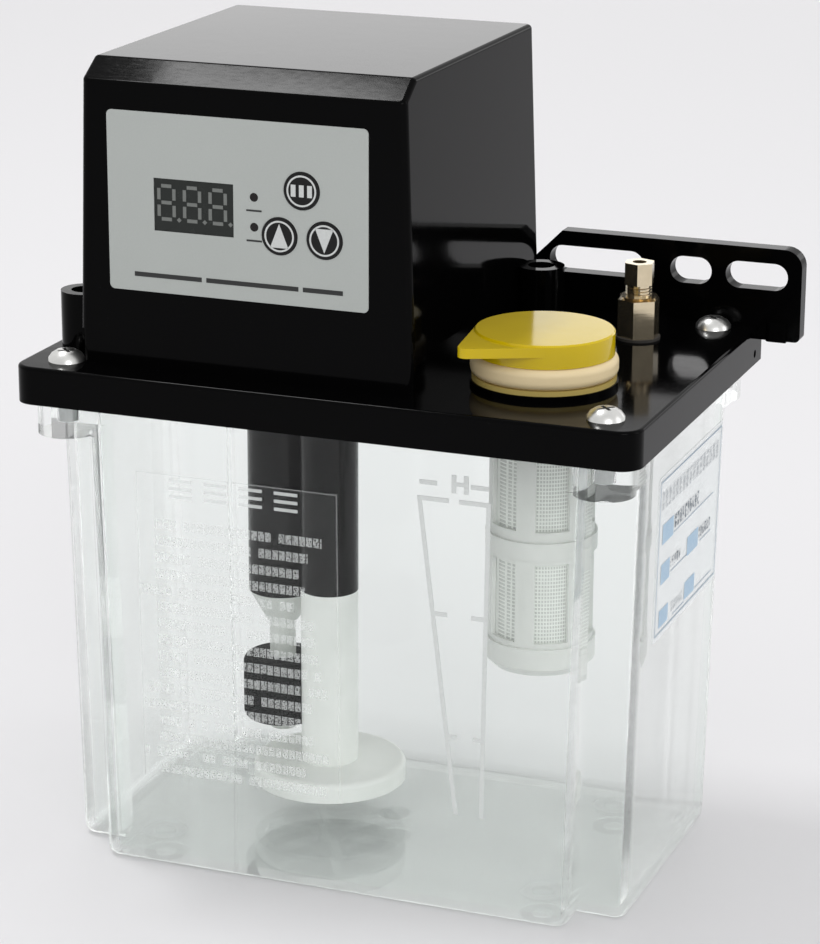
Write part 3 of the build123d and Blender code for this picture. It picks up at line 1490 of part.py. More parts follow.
mesh_radius = basket_radius - basket_wall - mesh_gap
with BuildPart() as filler_mesh:
    with BuildSketch(Plane.XY.offset(basket_foot_z + basket_floor)):
        with Locations((filler_x, filler_y)):
            Circle(mesh_radius)
            Circle(mesh_radius - mesh_thick, mode=Mode.SUBTRACT)
    extrude(amount=rim_z - basket_foot_z - basket_floor)
filler_mesh.part.label = "filler_mesh"
export_step(filler_mesh.part, "parts/filler_mesh.step")

# ---------------------------------------------------------------- filler lid and its strap
with BuildPart() as lid_tether:
    with BuildSketch(Plane.XY.offset(filler_seat_z)):
        with Locations((filler_x, filler_y)):
            Circle(tether_radius)
    with BuildSketch(filler_axis_plane.offset(filler_seat_z)):
        with Locations((hinge_radius / 2 + strap_thick / 4, 0)):
            Rectangle(hinge_radius + strap_thick / 2, strap_width)
    extrude(amount=tether_thick)
    with BuildSketch(filler_axis_plane.offset(filler_seat_z)):
        with Locations((hinge_radius, 0)):
            Rectangle(strap_thick, strap_width)
    extrude(amount=hinge_z - strap_drop - filler_seat_z)
    with BuildSketch(Plane.XY.offset(filler_seat_z)):
        with Locations((filler_x, filler_y)):
            Circle(basket_radius + basket_fit)
    extrude(amount=tether_thick, mode=Mode.SUBTRACT)
lid_tether.part.label = "lid_tether"
export_step(lid_tether.part, "parts/lid_tether.step")

with BuildPart() as filler_lid:
    with BuildSketch(Plane.XY.offset(lid_z)):
        with Locations((filler_x, filler_y)):
            Circle(lid_radius)
    extrude(amount=lid_height)
    with BuildSketch(filler_axis_plane.offset(lid_z + lid_height - tab_drop)):
        with BuildLine():
            blend_angle = degrees(atan2(lid_radius - tab_radius, tab_reach - tab_radius)) + 90
            start = (lid_radius * cos(radians(blend_angle)), lid_radius * sin(radians(blend_angle)))
            tip_side = (
                tab_radius - tab_reach + tab_radius * cos(radians(blend_angle)),
                tab_radius * sin(radians(blend_angle)),
            )
            Polyline(
                (0, start[1]),
                start,
                tip_side,
                (tip_side[0], -tip_side[1]),
                (start[0], -start[1]),
                (0, -start[1]),
                close=True,
            )
        make_face()
        with Locations((tab_radius - tab_reach, 0)):
            Circle(tab_radius)
    extrude(amount=-tab_thick)
    top_rim = filler_lid.faces().sort_by(Axis.Z)[-1].edges()
    chamfer(top_rim, min(lid_edge, 0.9 * tab_drop))
    with BuildSketch(Plane.XY.offset(lid_z)):
        with Locations((filler_x, filler_y)):
            Circle(lid_radius - lid_wall)
            Circle(basket_bore - lid_plug_gap, mode=Mode.SUBTRACT)
    extrude(amount=lid_height - lid_wall, mode=Mode.SUBTRACT)
    with BuildSketch(Plane.XY.offset(lid_z + lid_height - lid_wall)):
        with Locations((filler_x, filler_y)):
            Circle(basket_bore - lid_plug_gap)
    extrude(amount=-lid_height + lid_wall - lid_plug_depth)
    with BuildSketch(Plane.XY.offset(lid_z + lid_height - lid_wall)):
        with Locations((filler_x, filler_y)):
            Circle(basket_bore - lid_plug_gap - lid_plug_wall)
    extrude(amount=-lid_height + lid_wall - lid_plug_depth, mode=Mode.SUBTRACT)
    with BuildSketch(filler_axis_plane.offset(lid_z)):
        with Locations(((hinge_radius + lid_radius - lid_wall) / 2, 0)):
            Rectangle(hinge_radius - lid_radius + lid_wall, strap_width)
    extrude(amount=hinge_leaf)
filler_lid.part.label = "filler_lid"
export_step(filler_lid.part, "parts/filler_lid.step")

# ---------------------------------------------------------------- outlet fitting
outlet_seat_z = plate_top_z + washer_thick
with BuildPart() as outlet_washer:
    with BuildSketch(Plane.XY.offset(plate_top_z)):
        with Locations((outlet_x, outlet_y)):
            Circle(washer_radius)
            Circle(outlet_thread_radius + thread_gap, mode=Mode.SUBTRACT)
    extrude(amount=washer_thick)
outlet_washer.part.label = "outlet_washer"
export_step(outlet_washer.part, "parts/outlet_washer.step")

hex_corner = outlet_hex / 2 / cos(radians(30))
outlet_hex_top_z = outlet_seat_z + outlet_hex_height
with BuildPart() as outlet_fitting:
    with BuildSketch(Plane.XY.offset(outlet_seat_z)):
        with Locations((outlet_x, outlet_y)):
            RegularPolygon(outlet_hex / 2, 6, major_radius=False, rotation=outlet_hex_turn)
    extrude(amount=outlet_hex_height)
    with BuildSketch(Plane.XY.offset(outlet_hex_top_z)):
        with Locations((outlet_x, outlet_y)):
            Circle(hex_corner + outlet_hex_chamfer)
            Circle(outlet_hex / 2, mode=Mode.SUBTRACT)
    extrude(amount=-outlet_hex_chamfer, taper=-outlet_chamfer_angle, mode=Mode.SUBTRACT)
    with BuildSketch(Plane.XY.offset(outlet_hex_top_z)):
        with Locations((outlet_x, outlet_y)):
            Circle(outlet_neck_radius)
    extrude(amount=outlet_neck_height)
    with BuildSketch(Plane.XY.offset(outlet_seat_z)):
        with Locations((outlet_x, outlet_y)):
            Circle(outlet_thread_radius)
    extrude(amount=-outlet_thread_length - washer_thick)
    with BuildSketch(Plane.XY.offset(outlet_hex_top_z + outlet_neck_height)):
        with Locations((outlet_x, outlet_y)):
            Circle(outlet_tube_radius)
    extrude(amount=-outlet_tube_depth, mode=Mode.SUBTRACT)
    with BuildSketch(Plane.XY.offset(outlet_seat_z - outlet_thread_length - washer_thick)):
        with Locations((outlet_x, outlet_y)):
            Circle(outlet_bore)
    outlet_run = outlet_thread_length + washer_thick + outlet_hex_height + outlet_neck_height
    extrude(amount=outlet_run, mode=Mode.SUBTRACT)
outlet_fitting.part.label = "outlet_fitting"
export_step(outlet_fitting.part, "parts/outlet_fitting.step")

nut_z = outlet_hex_top_z + outlet_nut_lift
with BuildPart() as outlet_nut:
    with BuildSketch(Plane.XY.offset(nut_z)):
        with Locations((outlet_x, outlet_y)):
            RegularPolygon(outlet_nut_hex / 2, 6, major_radius=False, rotation=outlet_nut_turn)
    extrude(amount=outlet_nut_height)
    with BuildSketch(Plane.XY.offset(nut_z)):
        with Locations((outlet_x, outlet_y)):
            Circle(outlet_neck_radius + thread_gap)
    extrude(amount=outlet_neck_height - outlet_nut_lift, mode=Mode.SUBTRACT)
    with BuildSketch(Plane.XY.offset(nut_z)):
        with Locations((outlet_x, outlet_y)):
            Circle(outlet_tube_radius)
    extrude(amount=outlet_nut_height, mode=Mode.SUBTRACT)
outlet_nut.part.label = "outlet_nut"
export_step(outlet_nut.part, "parts/outlet_nut.step")

# ---------------------------------------------------------------- printed films on the tank
front_wall_y = tank_front_y + rim_z * tan(radians(tank_draft))
side_wall_x = tank_side_x + rim_z * tan(radians(tank_draft))
front_wall_plane = Plane(
    origin=(0, -front_wall_y, rim_z),
    x_dir=(1, 0, 0),
    z_dir=(0, -cos(radians(tank_draft)), -sin(radians(tank_draft))),
)
side_wall_plane = Plane(
    origin=(side_wall_x, 0, rim_z),
    x_dir=(0, 1, 0),
    z_dir=(cos(radians(tank_draft)), 0, -sin(radians(tank_draft))),
)
with BuildPart() as notice_film:
    with BuildSketch(front_wall_plane):
        with Locations((notice_x, -notice_top - notice_height / 2)):
            Rectangle(notice_width, notice_height)
    extrude(amount=film_thick)
notice_film.part.label = "notice_film"
export_step(notice_film.part, "parts/notice_film.step")

with BuildPart() as rating_label:
    with BuildSketch(side_wall_plane):
        with Locations((rating_y, -rating_top - rating_height / 2)):
            RectangleRounded(rating_width, rating_height, rating_corner)
    extrude(amount=film_thick)
rating_label.part.label = "rating_label"
export_step(rating_label.part, "parts/rating_label.step")


def scale_edge(edge, drop):
    """X of one slanting line of the level scale at a drop below the tank rim."""
    return edge[0] + (edge[1] - edge[0]) * (drop - scale_top) / (scale_bottom - scale_top)


with BuildPart() as level_scale:
    with BuildSketch(front_wall_plane):
        for edge, inward in ((scale_left, 1), (scale_right, -1)):
            with BuildLine():
                Polyline(
                    (edge[0] - scale_line / 2, -scale_top),
                    (edge[0] + scale_line / 2, -scale_top),
                    (edge[1] + scale_line / 2, -scale_bottom),
                    (edge[1] - scale_line / 2, -scale_bottom),
                    close=True,
                )
            make_face()
            with Locations((edge[0] + inward * scale_bar / 2, -scale_top)):
                Rectangle(scale_bar + scale_line, scale_line)
            with Locations((edge[0] + inward * scale_mark / 2, -scale_high)):
                Rectangle(scale_mark, scale_line)
            for drop, length in scale_ticks:
                with Locations((scale_edge(edge, drop) + inward * length / 2, -drop)):
                    Rectangle(length, scale_line)
    extrude(amount=film_thick)
level_scale.part.label = "level_scale"
export_step(level_scale.part, "parts/level_scale.step")
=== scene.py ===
"""Finishes, prints, small trim and studio for an electric lubrication pump, laid out as an add-on."""

import math

import bmesh
import bpy
from bpy.props import FloatProperty, FloatVectorProperty, IntProperty, PointerProperty
from mathutils import Matrix, Vector


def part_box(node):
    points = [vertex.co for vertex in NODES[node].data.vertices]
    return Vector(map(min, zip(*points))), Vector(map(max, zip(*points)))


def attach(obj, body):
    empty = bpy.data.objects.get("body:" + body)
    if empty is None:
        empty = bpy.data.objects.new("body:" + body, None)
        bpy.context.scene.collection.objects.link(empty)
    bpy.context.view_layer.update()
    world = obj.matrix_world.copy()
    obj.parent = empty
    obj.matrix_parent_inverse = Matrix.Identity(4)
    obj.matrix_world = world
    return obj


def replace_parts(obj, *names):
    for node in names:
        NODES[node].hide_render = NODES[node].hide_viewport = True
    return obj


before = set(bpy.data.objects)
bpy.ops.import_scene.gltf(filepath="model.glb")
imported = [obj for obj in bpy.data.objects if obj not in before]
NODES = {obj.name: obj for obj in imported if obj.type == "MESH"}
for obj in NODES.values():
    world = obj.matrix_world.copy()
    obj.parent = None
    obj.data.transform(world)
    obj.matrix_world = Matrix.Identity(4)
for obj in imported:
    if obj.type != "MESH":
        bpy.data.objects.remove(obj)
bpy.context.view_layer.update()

bl_info = {
    "name": "Lubrication Pump Finishes",
    "version": (1, 0, 0),
    "blender": (4, 5, 0),
    "location": "View3D > Sidebar > Pump",
    "description": "Gives a packed lubrication pump its moulded, printed and plated finishes",
    "category": "Object",
}

MM = 0.001


# ---------------------------------------------------------------- sizes and colours


def colour(name, description, default):
    """A colour setting with its swatch."""
    return FloatVectorProperty(
        name=name, description=description, default=default, subtype="COLOR", size=3, min=0, max=1
    )


def length(name, description, default):
    """A length setting in metres."""
    return FloatProperty(name=name, description=description, default=default, unit="LENGTH", precision=5)


class PumpColours(bpy.types.PropertyGroup):
    """Colours of the pump's mouldings, prints and metals"""

    black: colour("Black moulding", "Cover plate and control housing", (0.0009, 0.0009, 0.0010))
    column: colour("Black immersed parts", "Pump column and level switch", (0.0014, 0.0014, 0.0015))
    tank: colour("Tank", "Tint of the clear tank", (0.988, 0.998, 0.992))
    yellow: colour("Filler lid", "Lid and its strap", (0.62, 0.45, 0.003))
    # A darker, paler copy of the lid's yellow: the darkening is painted shade of the ring that sits under the
    # flange.
    strap: colour("Lid strap", "Strap and ring that hold the lid", (0.52, 0.40, 0.12))
    cream: colour("Filler flange", "Flange of the filler basket", (0.86, 0.70, 0.42))
    milky: colour("Milky plastic", "Suction tube, strainer and basket", (0.92, 0.945, 0.91))
    grey: colour("Float", "Foamed float of the level switch", (0.0032, 0.0034, 0.0036))
    panel: colour("Panel", "Printed panel on the housing", (0.43, 0.455, 0.436))
    window: colour("Display window", "Face of the display", (0.020, 0.023, 0.021))
    digit: colour("Display digits", "Unlit segments", (0.17, 0.18, 0.17))
    mark: colour("Key marks", "Rings and arrows on the keys", (0.62, 0.64, 0.63))
    ink: colour("Tank ink", "Ink of the notice and the level scale", (0.70, 0.73, 0.715))
    label: colour("Rating label", "Ground of the rating label", (0.93, 0.96, 0.97))
    blue: colour("Rating print", "Boxes and rules of the rating label", (0.19, 0.40, 0.60))
    plated: colour("Outlet fitting", "Plated brass of the outlet", (0.76, 0.65, 0.46))
    chrome: colour("Cover screws", "Plated screw heads", (0.80, 0.80, 0.78))


class PumpSizes(bpy.types.PropertyGroup):
    """Sizes of the trim that is laid on the pump"""

    key_ring: length("Key ring", "Outer radius of the ring printed on a key", 0.0044)
    key_line: length("Key line", "Width of the ring printed on a key", 0.0005)
    key_arrow: length("Key arrow", "Half width of the arrow on a key", 0.0027)
    ink_thick: length("Ink thickness", "How far a print stands off its ground", 0.00008)
    thread_pitch: length("Thread pitch", "Pitch of the outlet's thread", 0.0009)
    thread_depth: length("Thread depth", "Height of the outlet's thread", 0.00035)
    film: length("Film", "Thickness of the prints on the tank", 0.0002)
    film_gap: length("Film gap", "Play between a print and the tank wall", 0.00005)
    tank_foot: FloatVectorProperty(
        name="Tank floor",
        description="Half sizes and thickness of the clear floor",
        default=(0.0845, 0.0395, 0.0034),
        size=3,
    )
    tank_step: length("Tank step", "How far the tank steps in at its corners", 0.0130)
    tank_lean: FloatProperty(
        name="Tank lean", description="Draft of the tank", default=math.radians(1.2), subtype="ANGLE"
    )
    level_mark_width: length("Level mark width", "Width of the mark between the high dashes", 0.0050)
    level_mark_height: length("Level mark height", "Height of the mark between the high dashes", 0.0053)
    level_mark_line: length("Level mark line", "Stroke of the mark between the high dashes", 0.0014)
    panel_bar: length("Panel bar", "Height of the bars printed along the panel's foot", 0.0013)
    lamp_bar: length("Lamp bar", "Height of the bar printed under a lamp", 0.0005)
    notice_row: length("Notice row", "Pitch of the notice's rows", 0.00505)
    screw_head: length("Screw head", "Radius of a cover screw's head", 0.00525)
    screw_sphere: length("Screw dome", "Depth of the dome's centre below the crown", 0.00503)
    weave: length("Mesh weave", "Pitch of the strainer wires", 0.0011)


class PumpStudio(bpy.types.PropertyGroup):
    """Camera, lights and floor"""

    eye: FloatVectorProperty(
        name="Eye",
        description="Camera position",
        default=(0.3297, -0.8479, 0.3945),
        subtype="TRANSLATION",
        size=3,
    )
    aim: FloatVectorProperty(
        name="Aim",
        description="Camera direction",
        default=(-0.3422, 0.8918, -0.2959),
        subtype="DIRECTION",
        size=3,
    )
    roll: FloatProperty(name="Roll", description="Camera roll", default=math.radians(0.22), subtype="ANGLE")
    lens: FloatProperty(name="Lens", description="Focal length in millimetres", default=123.03, min=1)
    sky_behind: FloatProperty(
        name="Light behind", description="Room's light from behind the pump", default=0.86, min=0
    )
    sky_before: FloatProperty(
        name="Light in front", description="Room's light from the front", default=0.78, min=0
    )
    floor: colour("Floor", "Colour of the floor", (0.78, 0.775, 0.79))
    clear_layers: IntProperty(
        name="Clear layers", description="Clear walls that a ray may pass", default=40, min=8
    )


# ---------------------------------------------------------------- shader arithmetic


class Signal:
    """A shader socket that takes part in Python arithmetic; each operator adds its Math node."""

    def __init__(self, finish, socket):
        self.finish = finish
        self.socket = socket

    def math(self, operation, first, second):
        """One Math node on two numbers or signals."""
        return self.finish.node("ShaderNodeMath", {"operation": operation}, {0: first, 1: second})

    def __add__(self, other):
        return self.math("ADD", self, other)

    def __sub__(self, other):
        return self.math("SUBTRACT", self, other)

    def __rsub__(self, other):
        return self.math("SUBTRACT", other, self)

    def __mul__(self, other):
        return self.math("MULTIPLY", self, other)

    def __truediv__(self, other):
        return self.math("DIVIDE", self, other)

    def __pow__(self, other):
        return self.math("POWER", self, other)

    def __gt__(self, other):
        return self.math("GREATER_THAN", self, other)

    def __lt__(self, other):
        return self.math("LESS_THAN", self, other)

    def __and__(self, other):
        return self.math("MINIMUM", self, other)

    def __or__(self, other):
        return self.math("MAXIMUM", self, other)

    def __mod__(self, other):
        return self.math("FLOORED_MODULO", self, other)

    def __abs__(self):
        return self.math("ABSOLUTE", self, 0.0)

    def sign(self):
        """-1, 0 or 1."""
        return self.math("SIGN", self, 0.0)

    def floor(self):
        """The whole number below."""
        return self.math("FLOOR", self, 0.0)

    __radd__ = __add__
    __rmul__ = __mul__


class NodeWork:
    """A node tree under construction, with the point that its textures are read at."""

    def __init__(self, tree, place):
        self.tree = tree
        self.place = self.node("ShaderNodeTexCoord", {}, {}, place)

    def node(self, kind, settings, inputs, output=0):
        """Add any node: its settings first, then the values or links of its sockets."""
        made = self.tree.nodes.new(kind)
        for key, value in settings.items():
            if key == "stops":
                ramp = made.color_ramp.elements
                while len(ramp) < len(value):
                    ramp.new(0.5)
                for element, (position, shade) in zip(ramp, value):
                    element.position = position
                    element.color = (*shade, 1) if len(shade) == 3 else shade
            else:
                setattr(made, key, value)
        for key, value in inputs.items():
            self.plug(made.inputs[key], value)
        return Signal(self, made.outputs[output])

    def plug(self, socket, value):
        """Link a signal to a socket, or set the socket's own value."""
        if isinstance(value, Signal):
            self.tree.links.new(value.socket, socket)
        elif socket.type == "RGBA" and len(value) == 3:
            socket.default_value = (*value, 1)
        else:
            socket.default_value = value

    def noise(self, size, detail=3.0, roughness=0.5, stretch=(1, 1, 1)):
        """Noise between 0 and 1 with features of a size in metres."""
        spot = self.node(
            "ShaderNodeVectorMath", {"operation": "MULTIPLY"}, {0: self.place, 1: [s / size for s in stretch]}
        )
        return self.node(
            "ShaderNodeTexNoise", {}, {"Vector": spot, "Scale": 1.0, "Detail": detail, "Roughness": roughness}
        )

    def cells(self, size):
        """Distance to the nearest cell point, with cells of a size in metres."""
        spot = self.node("ShaderNodeVectorMath", {"operation": "SCALE"}, {0: self.place, "Scale": 1 / size})
        return self.node("ShaderNodeTexVoronoi", {}, {"Vector": spot, "Scale": 1.0})

    def axes(self):
        """The object's X, Y and Z in metres."""
        spot = self.tree.nodes.new("ShaderNodeSeparateXYZ")
        self.tree.links.new(self.place.socket, spot.inputs[0])
        return [Signal(self, out) for out in spot.outputs]

    def mix(self, factor, low, high):
        """A colour between two colours."""
        return self.node(
            "ShaderNodeMix", {"data_type": "RGBA", "clamp_factor": True}, {0: factor, 6: low, 7: high}, 2
        )

    def chance(self, *steps):
        """A steady random number from 0 to 1 for one or two whole-number signals."""
        spot = self.node(
            "ShaderNodeCombineXYZ", {}, {i: s for i, s in enumerate(steps)}
        )
        return self.node("ShaderNodeTexWhiteNoise", {"noise_dimensions": "3D"}, {"Vector": spot})

    def glancing(self):
        """0 where the surface faces the viewer, 1 where it turns away."""
        return self.node("ShaderNodeLayerWeight", {}, {"Blend": 0.5}, "Facing")

    def within(self, signal, low, high):
        """1 where a signal lies between two limits."""
        return (signal > low) & (signal < high)

    def ramp(self, signal, low, high):
        """0 below one limit, 1 above the other, smooth between them."""
        settings = {"interpolation_type": "SMOOTHSTEP"}
        return self.node("ShaderNodeMapRange", settings, {"Value": signal, "From Min": low, "From Max": high})


class Finish(NodeWork):
    """A material under construction and the shader that it feeds."""

    def __init__(self, name, **settings):
        self.material = bpy.data.materials.new(name)
        self.material.use_nodes = True
        super().__init__(self.material.node_tree, "Object")
        self.shader = self.tree.nodes["Principled BSDF"]
        self.feed(**settings)

    def feed(self, **settings):
        """Set the shader's sockets by name, with underscores for spaces."""
        for key, value in settings.items():
            self.plug(self.shader.inputs[key.replace("_", " ").title().replace("Ior", "IOR")], value)

    def bump(self, height, distance, strength=1.0):
        """A bump that feeds the shader's Normal."""
        inputs = {"Height": height, "Distance": distance, "Strength": strength}
        self.feed(normal=self.node("ShaderNodeBump", {}, inputs))


def shade(rgb, factor):
    """A colour made lighter or darker."""
    return tuple(min(1.0, c * factor) for c in rgb)


# ---------------------------------------------------------------- finishes


def gloss_moulding(name, rgb, roughness=0.05):
    """Polished black housing plastic: a mirror skin with faint haze, dust and orange peel."""
    f = Finish(name, ior=1.14)
    haze = f.noise(0.045, 4)
    peel = f.noise(0.006, 2)
    dust = f.ramp(f.noise(0.0009, 3, 0.7), 0.70, 0.80)
    scuff = f.noise(0.004, 5, 0.7, (1, 6, 1))
    f.feed(
        base_color=f.mix(dust, f.mix(haze, shade(rgb, 0.7), shade(rgb, 1.4)), shade(rgb, 9.0)),
        roughness=roughness + haze * 0.05 + (scuff ** 6) * 0.6,
    )
    f.bump(peel * 0.5 + haze, 0.00006, 0.3)
    return f.material


def satin_moulding(name, rgb, roughness=0.42, ior=1.48, grain_size=0.0007, grain_deep=0.4):
    """Moulded plastic with a cloudy skin and a fine spark-eroded grain."""
    f = Finish(name, ior=ior)
    cloud = f.noise(0.02, 3)
    grain = f.noise(grain_size, 2)
    f.feed(
        base_color=f.mix(cloud, shade(rgb, 0.9), shade(rgb, 1.1)),
        roughness=roughness + (grain - 0.5) * 0.5 * roughness,
    )
    f.bump(grain, 0.00005, grain_deep)
    return f.material


def clear_moulding(name, rgb, thick, side, step, front):
    """Clear plastic: faces let light straight through and edges bend it, less so in the floor's field."""
    f = Finish(name, ior=1.47, transmission_weight=1.0)
    flow = f.noise(0.05, 3, 0.5, (1, 1, 0.25))
    f.feed(base_color=f.mix(flow, shade(rgb, 0.99), rgb), roughness=0.004 + flow * 0.012)
    f.bump(flow, 0.0003, 0.12)
    turned = f.glancing()
    x, y, z = f.axes()
    along = (abs(x) < side) & (abs(y) < front)
    across = (abs(x) < side - step) & (abs(y) < front + step)
    through = f.node("ShaderNodeBsdfTransparent", {}, {"Color": rgb})
    gleam = f.node("ShaderNodeBsdfAnisotropic", {}, {"Color": (1, 1, 1), "Roughness": 0.02})
    pane = f.node("ShaderNodeMixShader", {}, {0: 0.012 + (turned ** 4) * 0.4, 1: through, 2: gleam})
    glass = Signal(f, f.shader.outputs[0])
    bend = f.ramp(turned, 0.38, 0.66) * (0.78 - ((along | across) & (z < thick)) * 0.5)
    whole = f.node("ShaderNodeMixShader", {}, {0: bend, 1: pane, 2: glass})
    f.plug(f.tree.nodes["Material Output"].inputs["Surface"], whole)
    return f.material


def milky_plastic(name, rgb, alpha=1.0):
    """Translucent natural plastic with soft flow clouds."""
    f = Finish(name, ior=1.45, subsurface_radius=(0.004, 0.004, 0.004))
    cloud = f.noise(0.012, 3)
    grain = f.noise(0.0009, 2)
    f.feed(
        base_color=f.mix(cloud, shade(rgb, 0.9), shade(rgb, 1.08)),
        roughness=0.34 + grain * 0.14,
        alpha=alpha + (cloud - 0.5) * 0.12 if alpha < 1 else 1.0,
    )
    f.bump(grain + cloud, 0.00005, 0.3)
    return f.material


def basket_plastic(name, flange, body, split):
    """One moulding: cream and solid at its flange, milky and thin below the plate."""
    f = Finish(name, ior=1.46)
    z = f.axes()[2]
    cloud = f.noise(0.01, 3)
    grain = f.noise(0.0008, 2)
    above = z > split
    tone = f.mix(cloud, shade(body, 0.92), shade(body, 1.08))
    top = f.mix(cloud, shade(flange, 0.95), shade(flange, 1.05))
    f.feed(
        base_color=f.mix(above, tone, top),
        roughness=0.36 + grain * 0.16,
        alpha=(0.70 + (f.glancing() ** 2) * 0.25) | above,
    )
    f.bump(grain, 0.00005, 0.35)
    return f.material


def printed_foil(name, rgb):
    """Metallic grey panel foil with a fine, even sparkle."""
    f = Finish(name, metallic=0.0, ior=1.45)
    sparkle = f.noise(0.0005, 2)
    cloud = f.noise(0.03, 2)
    f.feed(
        base_color=f.mix(sparkle * 0.6 + cloud * 0.4, shade(rgb, 0.93), shade(rgb, 1.08)),
        roughness=0.42 + sparkle * 0.15,
    )
    f.bump(sparkle, 0.00002, 0.4)
    return f.material


def printed_mark(name, rgb):
    """Screen-printed ink with slightly uneven cover."""
    f = Finish(name)
    cover = f.noise(0.0006, 3)
    f.feed(base_color=f.mix(cover, shade(rgb, 0.85), shade(rgb, 1.08)), roughness=0.5 + cover * 0.2)
    f.bump(cover, 0.00002, 0.4)
    return f.material


def display_window(name, rgb):
    """Smoked filter over the digits, with a faint moulded texture."""
    f = Finish(name, ior=1.3)
    veil = f.noise(0.003, 3)
    f.feed(base_color=f.mix(veil, shade(rgb, 0.85), shade(rgb, 1.2)), roughness=0.2 + veil * 0.12)
    f.bump(veil, 0.00002, 0.2)
    return f.material


def plated_metal(name, rgb, roughness, line=0.0004):
    """Turned and plated metal: fine tool lines and a slight tarnish."""
    f = Finish(name)
    turning = f.noise(line, 2, 0.6, (0.08, 0.08, 1))
    tarnish = f.noise(0.004, 4, 0.65)
    f.feed(
        base_color=f.mix(tarnish, shade(rgb, 0.72), shade(rgb, 1.12)),
        metallic=0.92 + tarnish * 0.08,
        roughness=roughness + turning * 0.08 + tarnish * 0.07,
    )
    f.bump(turning, 0.00003, 0.25)
    return f.material


def domed_metal(name, rgb, across, along, centre, brow):
    """Plated pan heads at four mirrored places: the crown is lit as a sphere, and its cross recess is painted
    dark as painted shade.
    """
    f = Finish(name)
    x, y, z = f.axes()
    from_x = abs(x) - across
    from_y = abs(y) - along
    middle = f.node("ShaderNodeCombineXYZ", {}, {0: from_x * x.sign(), 1: from_y * y.sign(), 2: z - centre})
    # Painted shade: the cross recess is coloured near black, made less metallic and rougher.
    shade_painted_recess = (((from_x ** 2) + (from_y ** 2)) < 0.0029 ** 2) & (z < brow)
    haze = f.noise(0.003, 4, 0.65)
    f.feed(
        base_color=f.mix(shade_painted_recess, f.mix(haze, shade(rgb, 0.85), shade(rgb, 1.1)), shade(rgb, 0.12)),
        metallic=1.0 - shade_painted_recess * 0.5,
        roughness=0.26 + haze * 0.08 + shade_painted_recess * 0.3,
        normal=f.node("ShaderNodeVectorMath", {"operation": "NORMALIZE"}, {0: middle}),
    )
    return f.material


def painted_metal(name, rgb, roughness=0.4):
    """Sprayed paint or varnish with a light orange peel."""
    f = Finish(name)
    peel = f.noise(0.0015, 2)
    cloud = f.noise(0.02, 3)
    f.feed(base_color=f.mix(cloud, shade(rgb, 0.85), shade(rgb, 1.15)), roughness=roughness + peel * 0.15)
    f.bump(peel, 0.00008, 0.4)
    return f.material


def laminated_steel(name, rgb):
    """Stacked varnished laminations, seen as fine lines up the stack."""
    f = Finish(name, metallic=0.6)
    z = f.axes()[2]
    line = abs((z / 0.0005) % 1.0 - 0.5) * 2.0
    speck = f.noise(0.001, 3)
    f.feed(
        base_color=f.mix(line * 0.7 + speck * 0.3, shade(rgb, 0.5), shade(rgb, 1.3)),
        roughness=0.35 + speck * 0.25,
    )
    f.bump(line, 0.00005, 0.6)
    return f.material


def foamed_float(name, rgb):
    """Closed-cell rubber foam: small pits and a speckled skin."""
    f = Finish(name, ior=1.18)
    pit = f.cells(0.0011)
    speck = f.noise(0.0006, 3, 0.7)
    f.feed(base_color=f.mix(speck ** 2, shade(rgb, 0.6), shade(rgb, 4.2)), roughness=0.62 + speck * 0.2)
    f.bump(pit, 0.00025, 0.6)
    return f.material


def circuit_laminate(name, rgb):
    """Solder-masked board with a web of copper tracks."""
    f = Finish(name, ior=1.5)
    track = f.cells(0.004)
    haze = f.noise(0.003, 3)
    f.feed(base_color=f.mix(track > 0.62, rgb, shade(rgb, 1.9)), roughness=0.25 + haze * 0.15)
    f.bump(track > 0.62, 0.00004, 0.6)
    return f.material


def soft_seal(name, rgb):
    """Moulded nitrile with a dusty bloom."""
    f = Finish(name)
    bloom = f.noise(0.002, 4)
    f.feed(base_color=f.mix(bloom, rgb, shade(rgb, 2.5)), roughness=0.6 + bloom * 0.25)
    f.bump(bloom, 0.00008, 0.5)
    return f.material


def wire_weave(name, rgb, pitch, flat, metallic=0.9, haze=0.12, cover=0.5):
    """Woven mesh: open squares between crossing strands, on a disc or round a tube."""
    f = Finish(name, metallic=metallic)
    x, y, z = f.axes()
    across, along = (x, y) if flat else (x + y, z)
    warp = abs((across / pitch) % 1.0 - 0.5)
    weft = abs((along / pitch) % 1.0 - 0.5)
    wire = (warp | weft) > 0.33
    worn = f.noise(0.002, 3)
    f.feed(
        base_color=f.mix(worn, shade(rgb, 0.9), shade(rgb, 1.05)),
        roughness=0.35 + worn * 0.2,
        alpha=haze + wire * cover,
    )
    f.bump(warp | weft, 0.0001, 0.7)
    return f.material


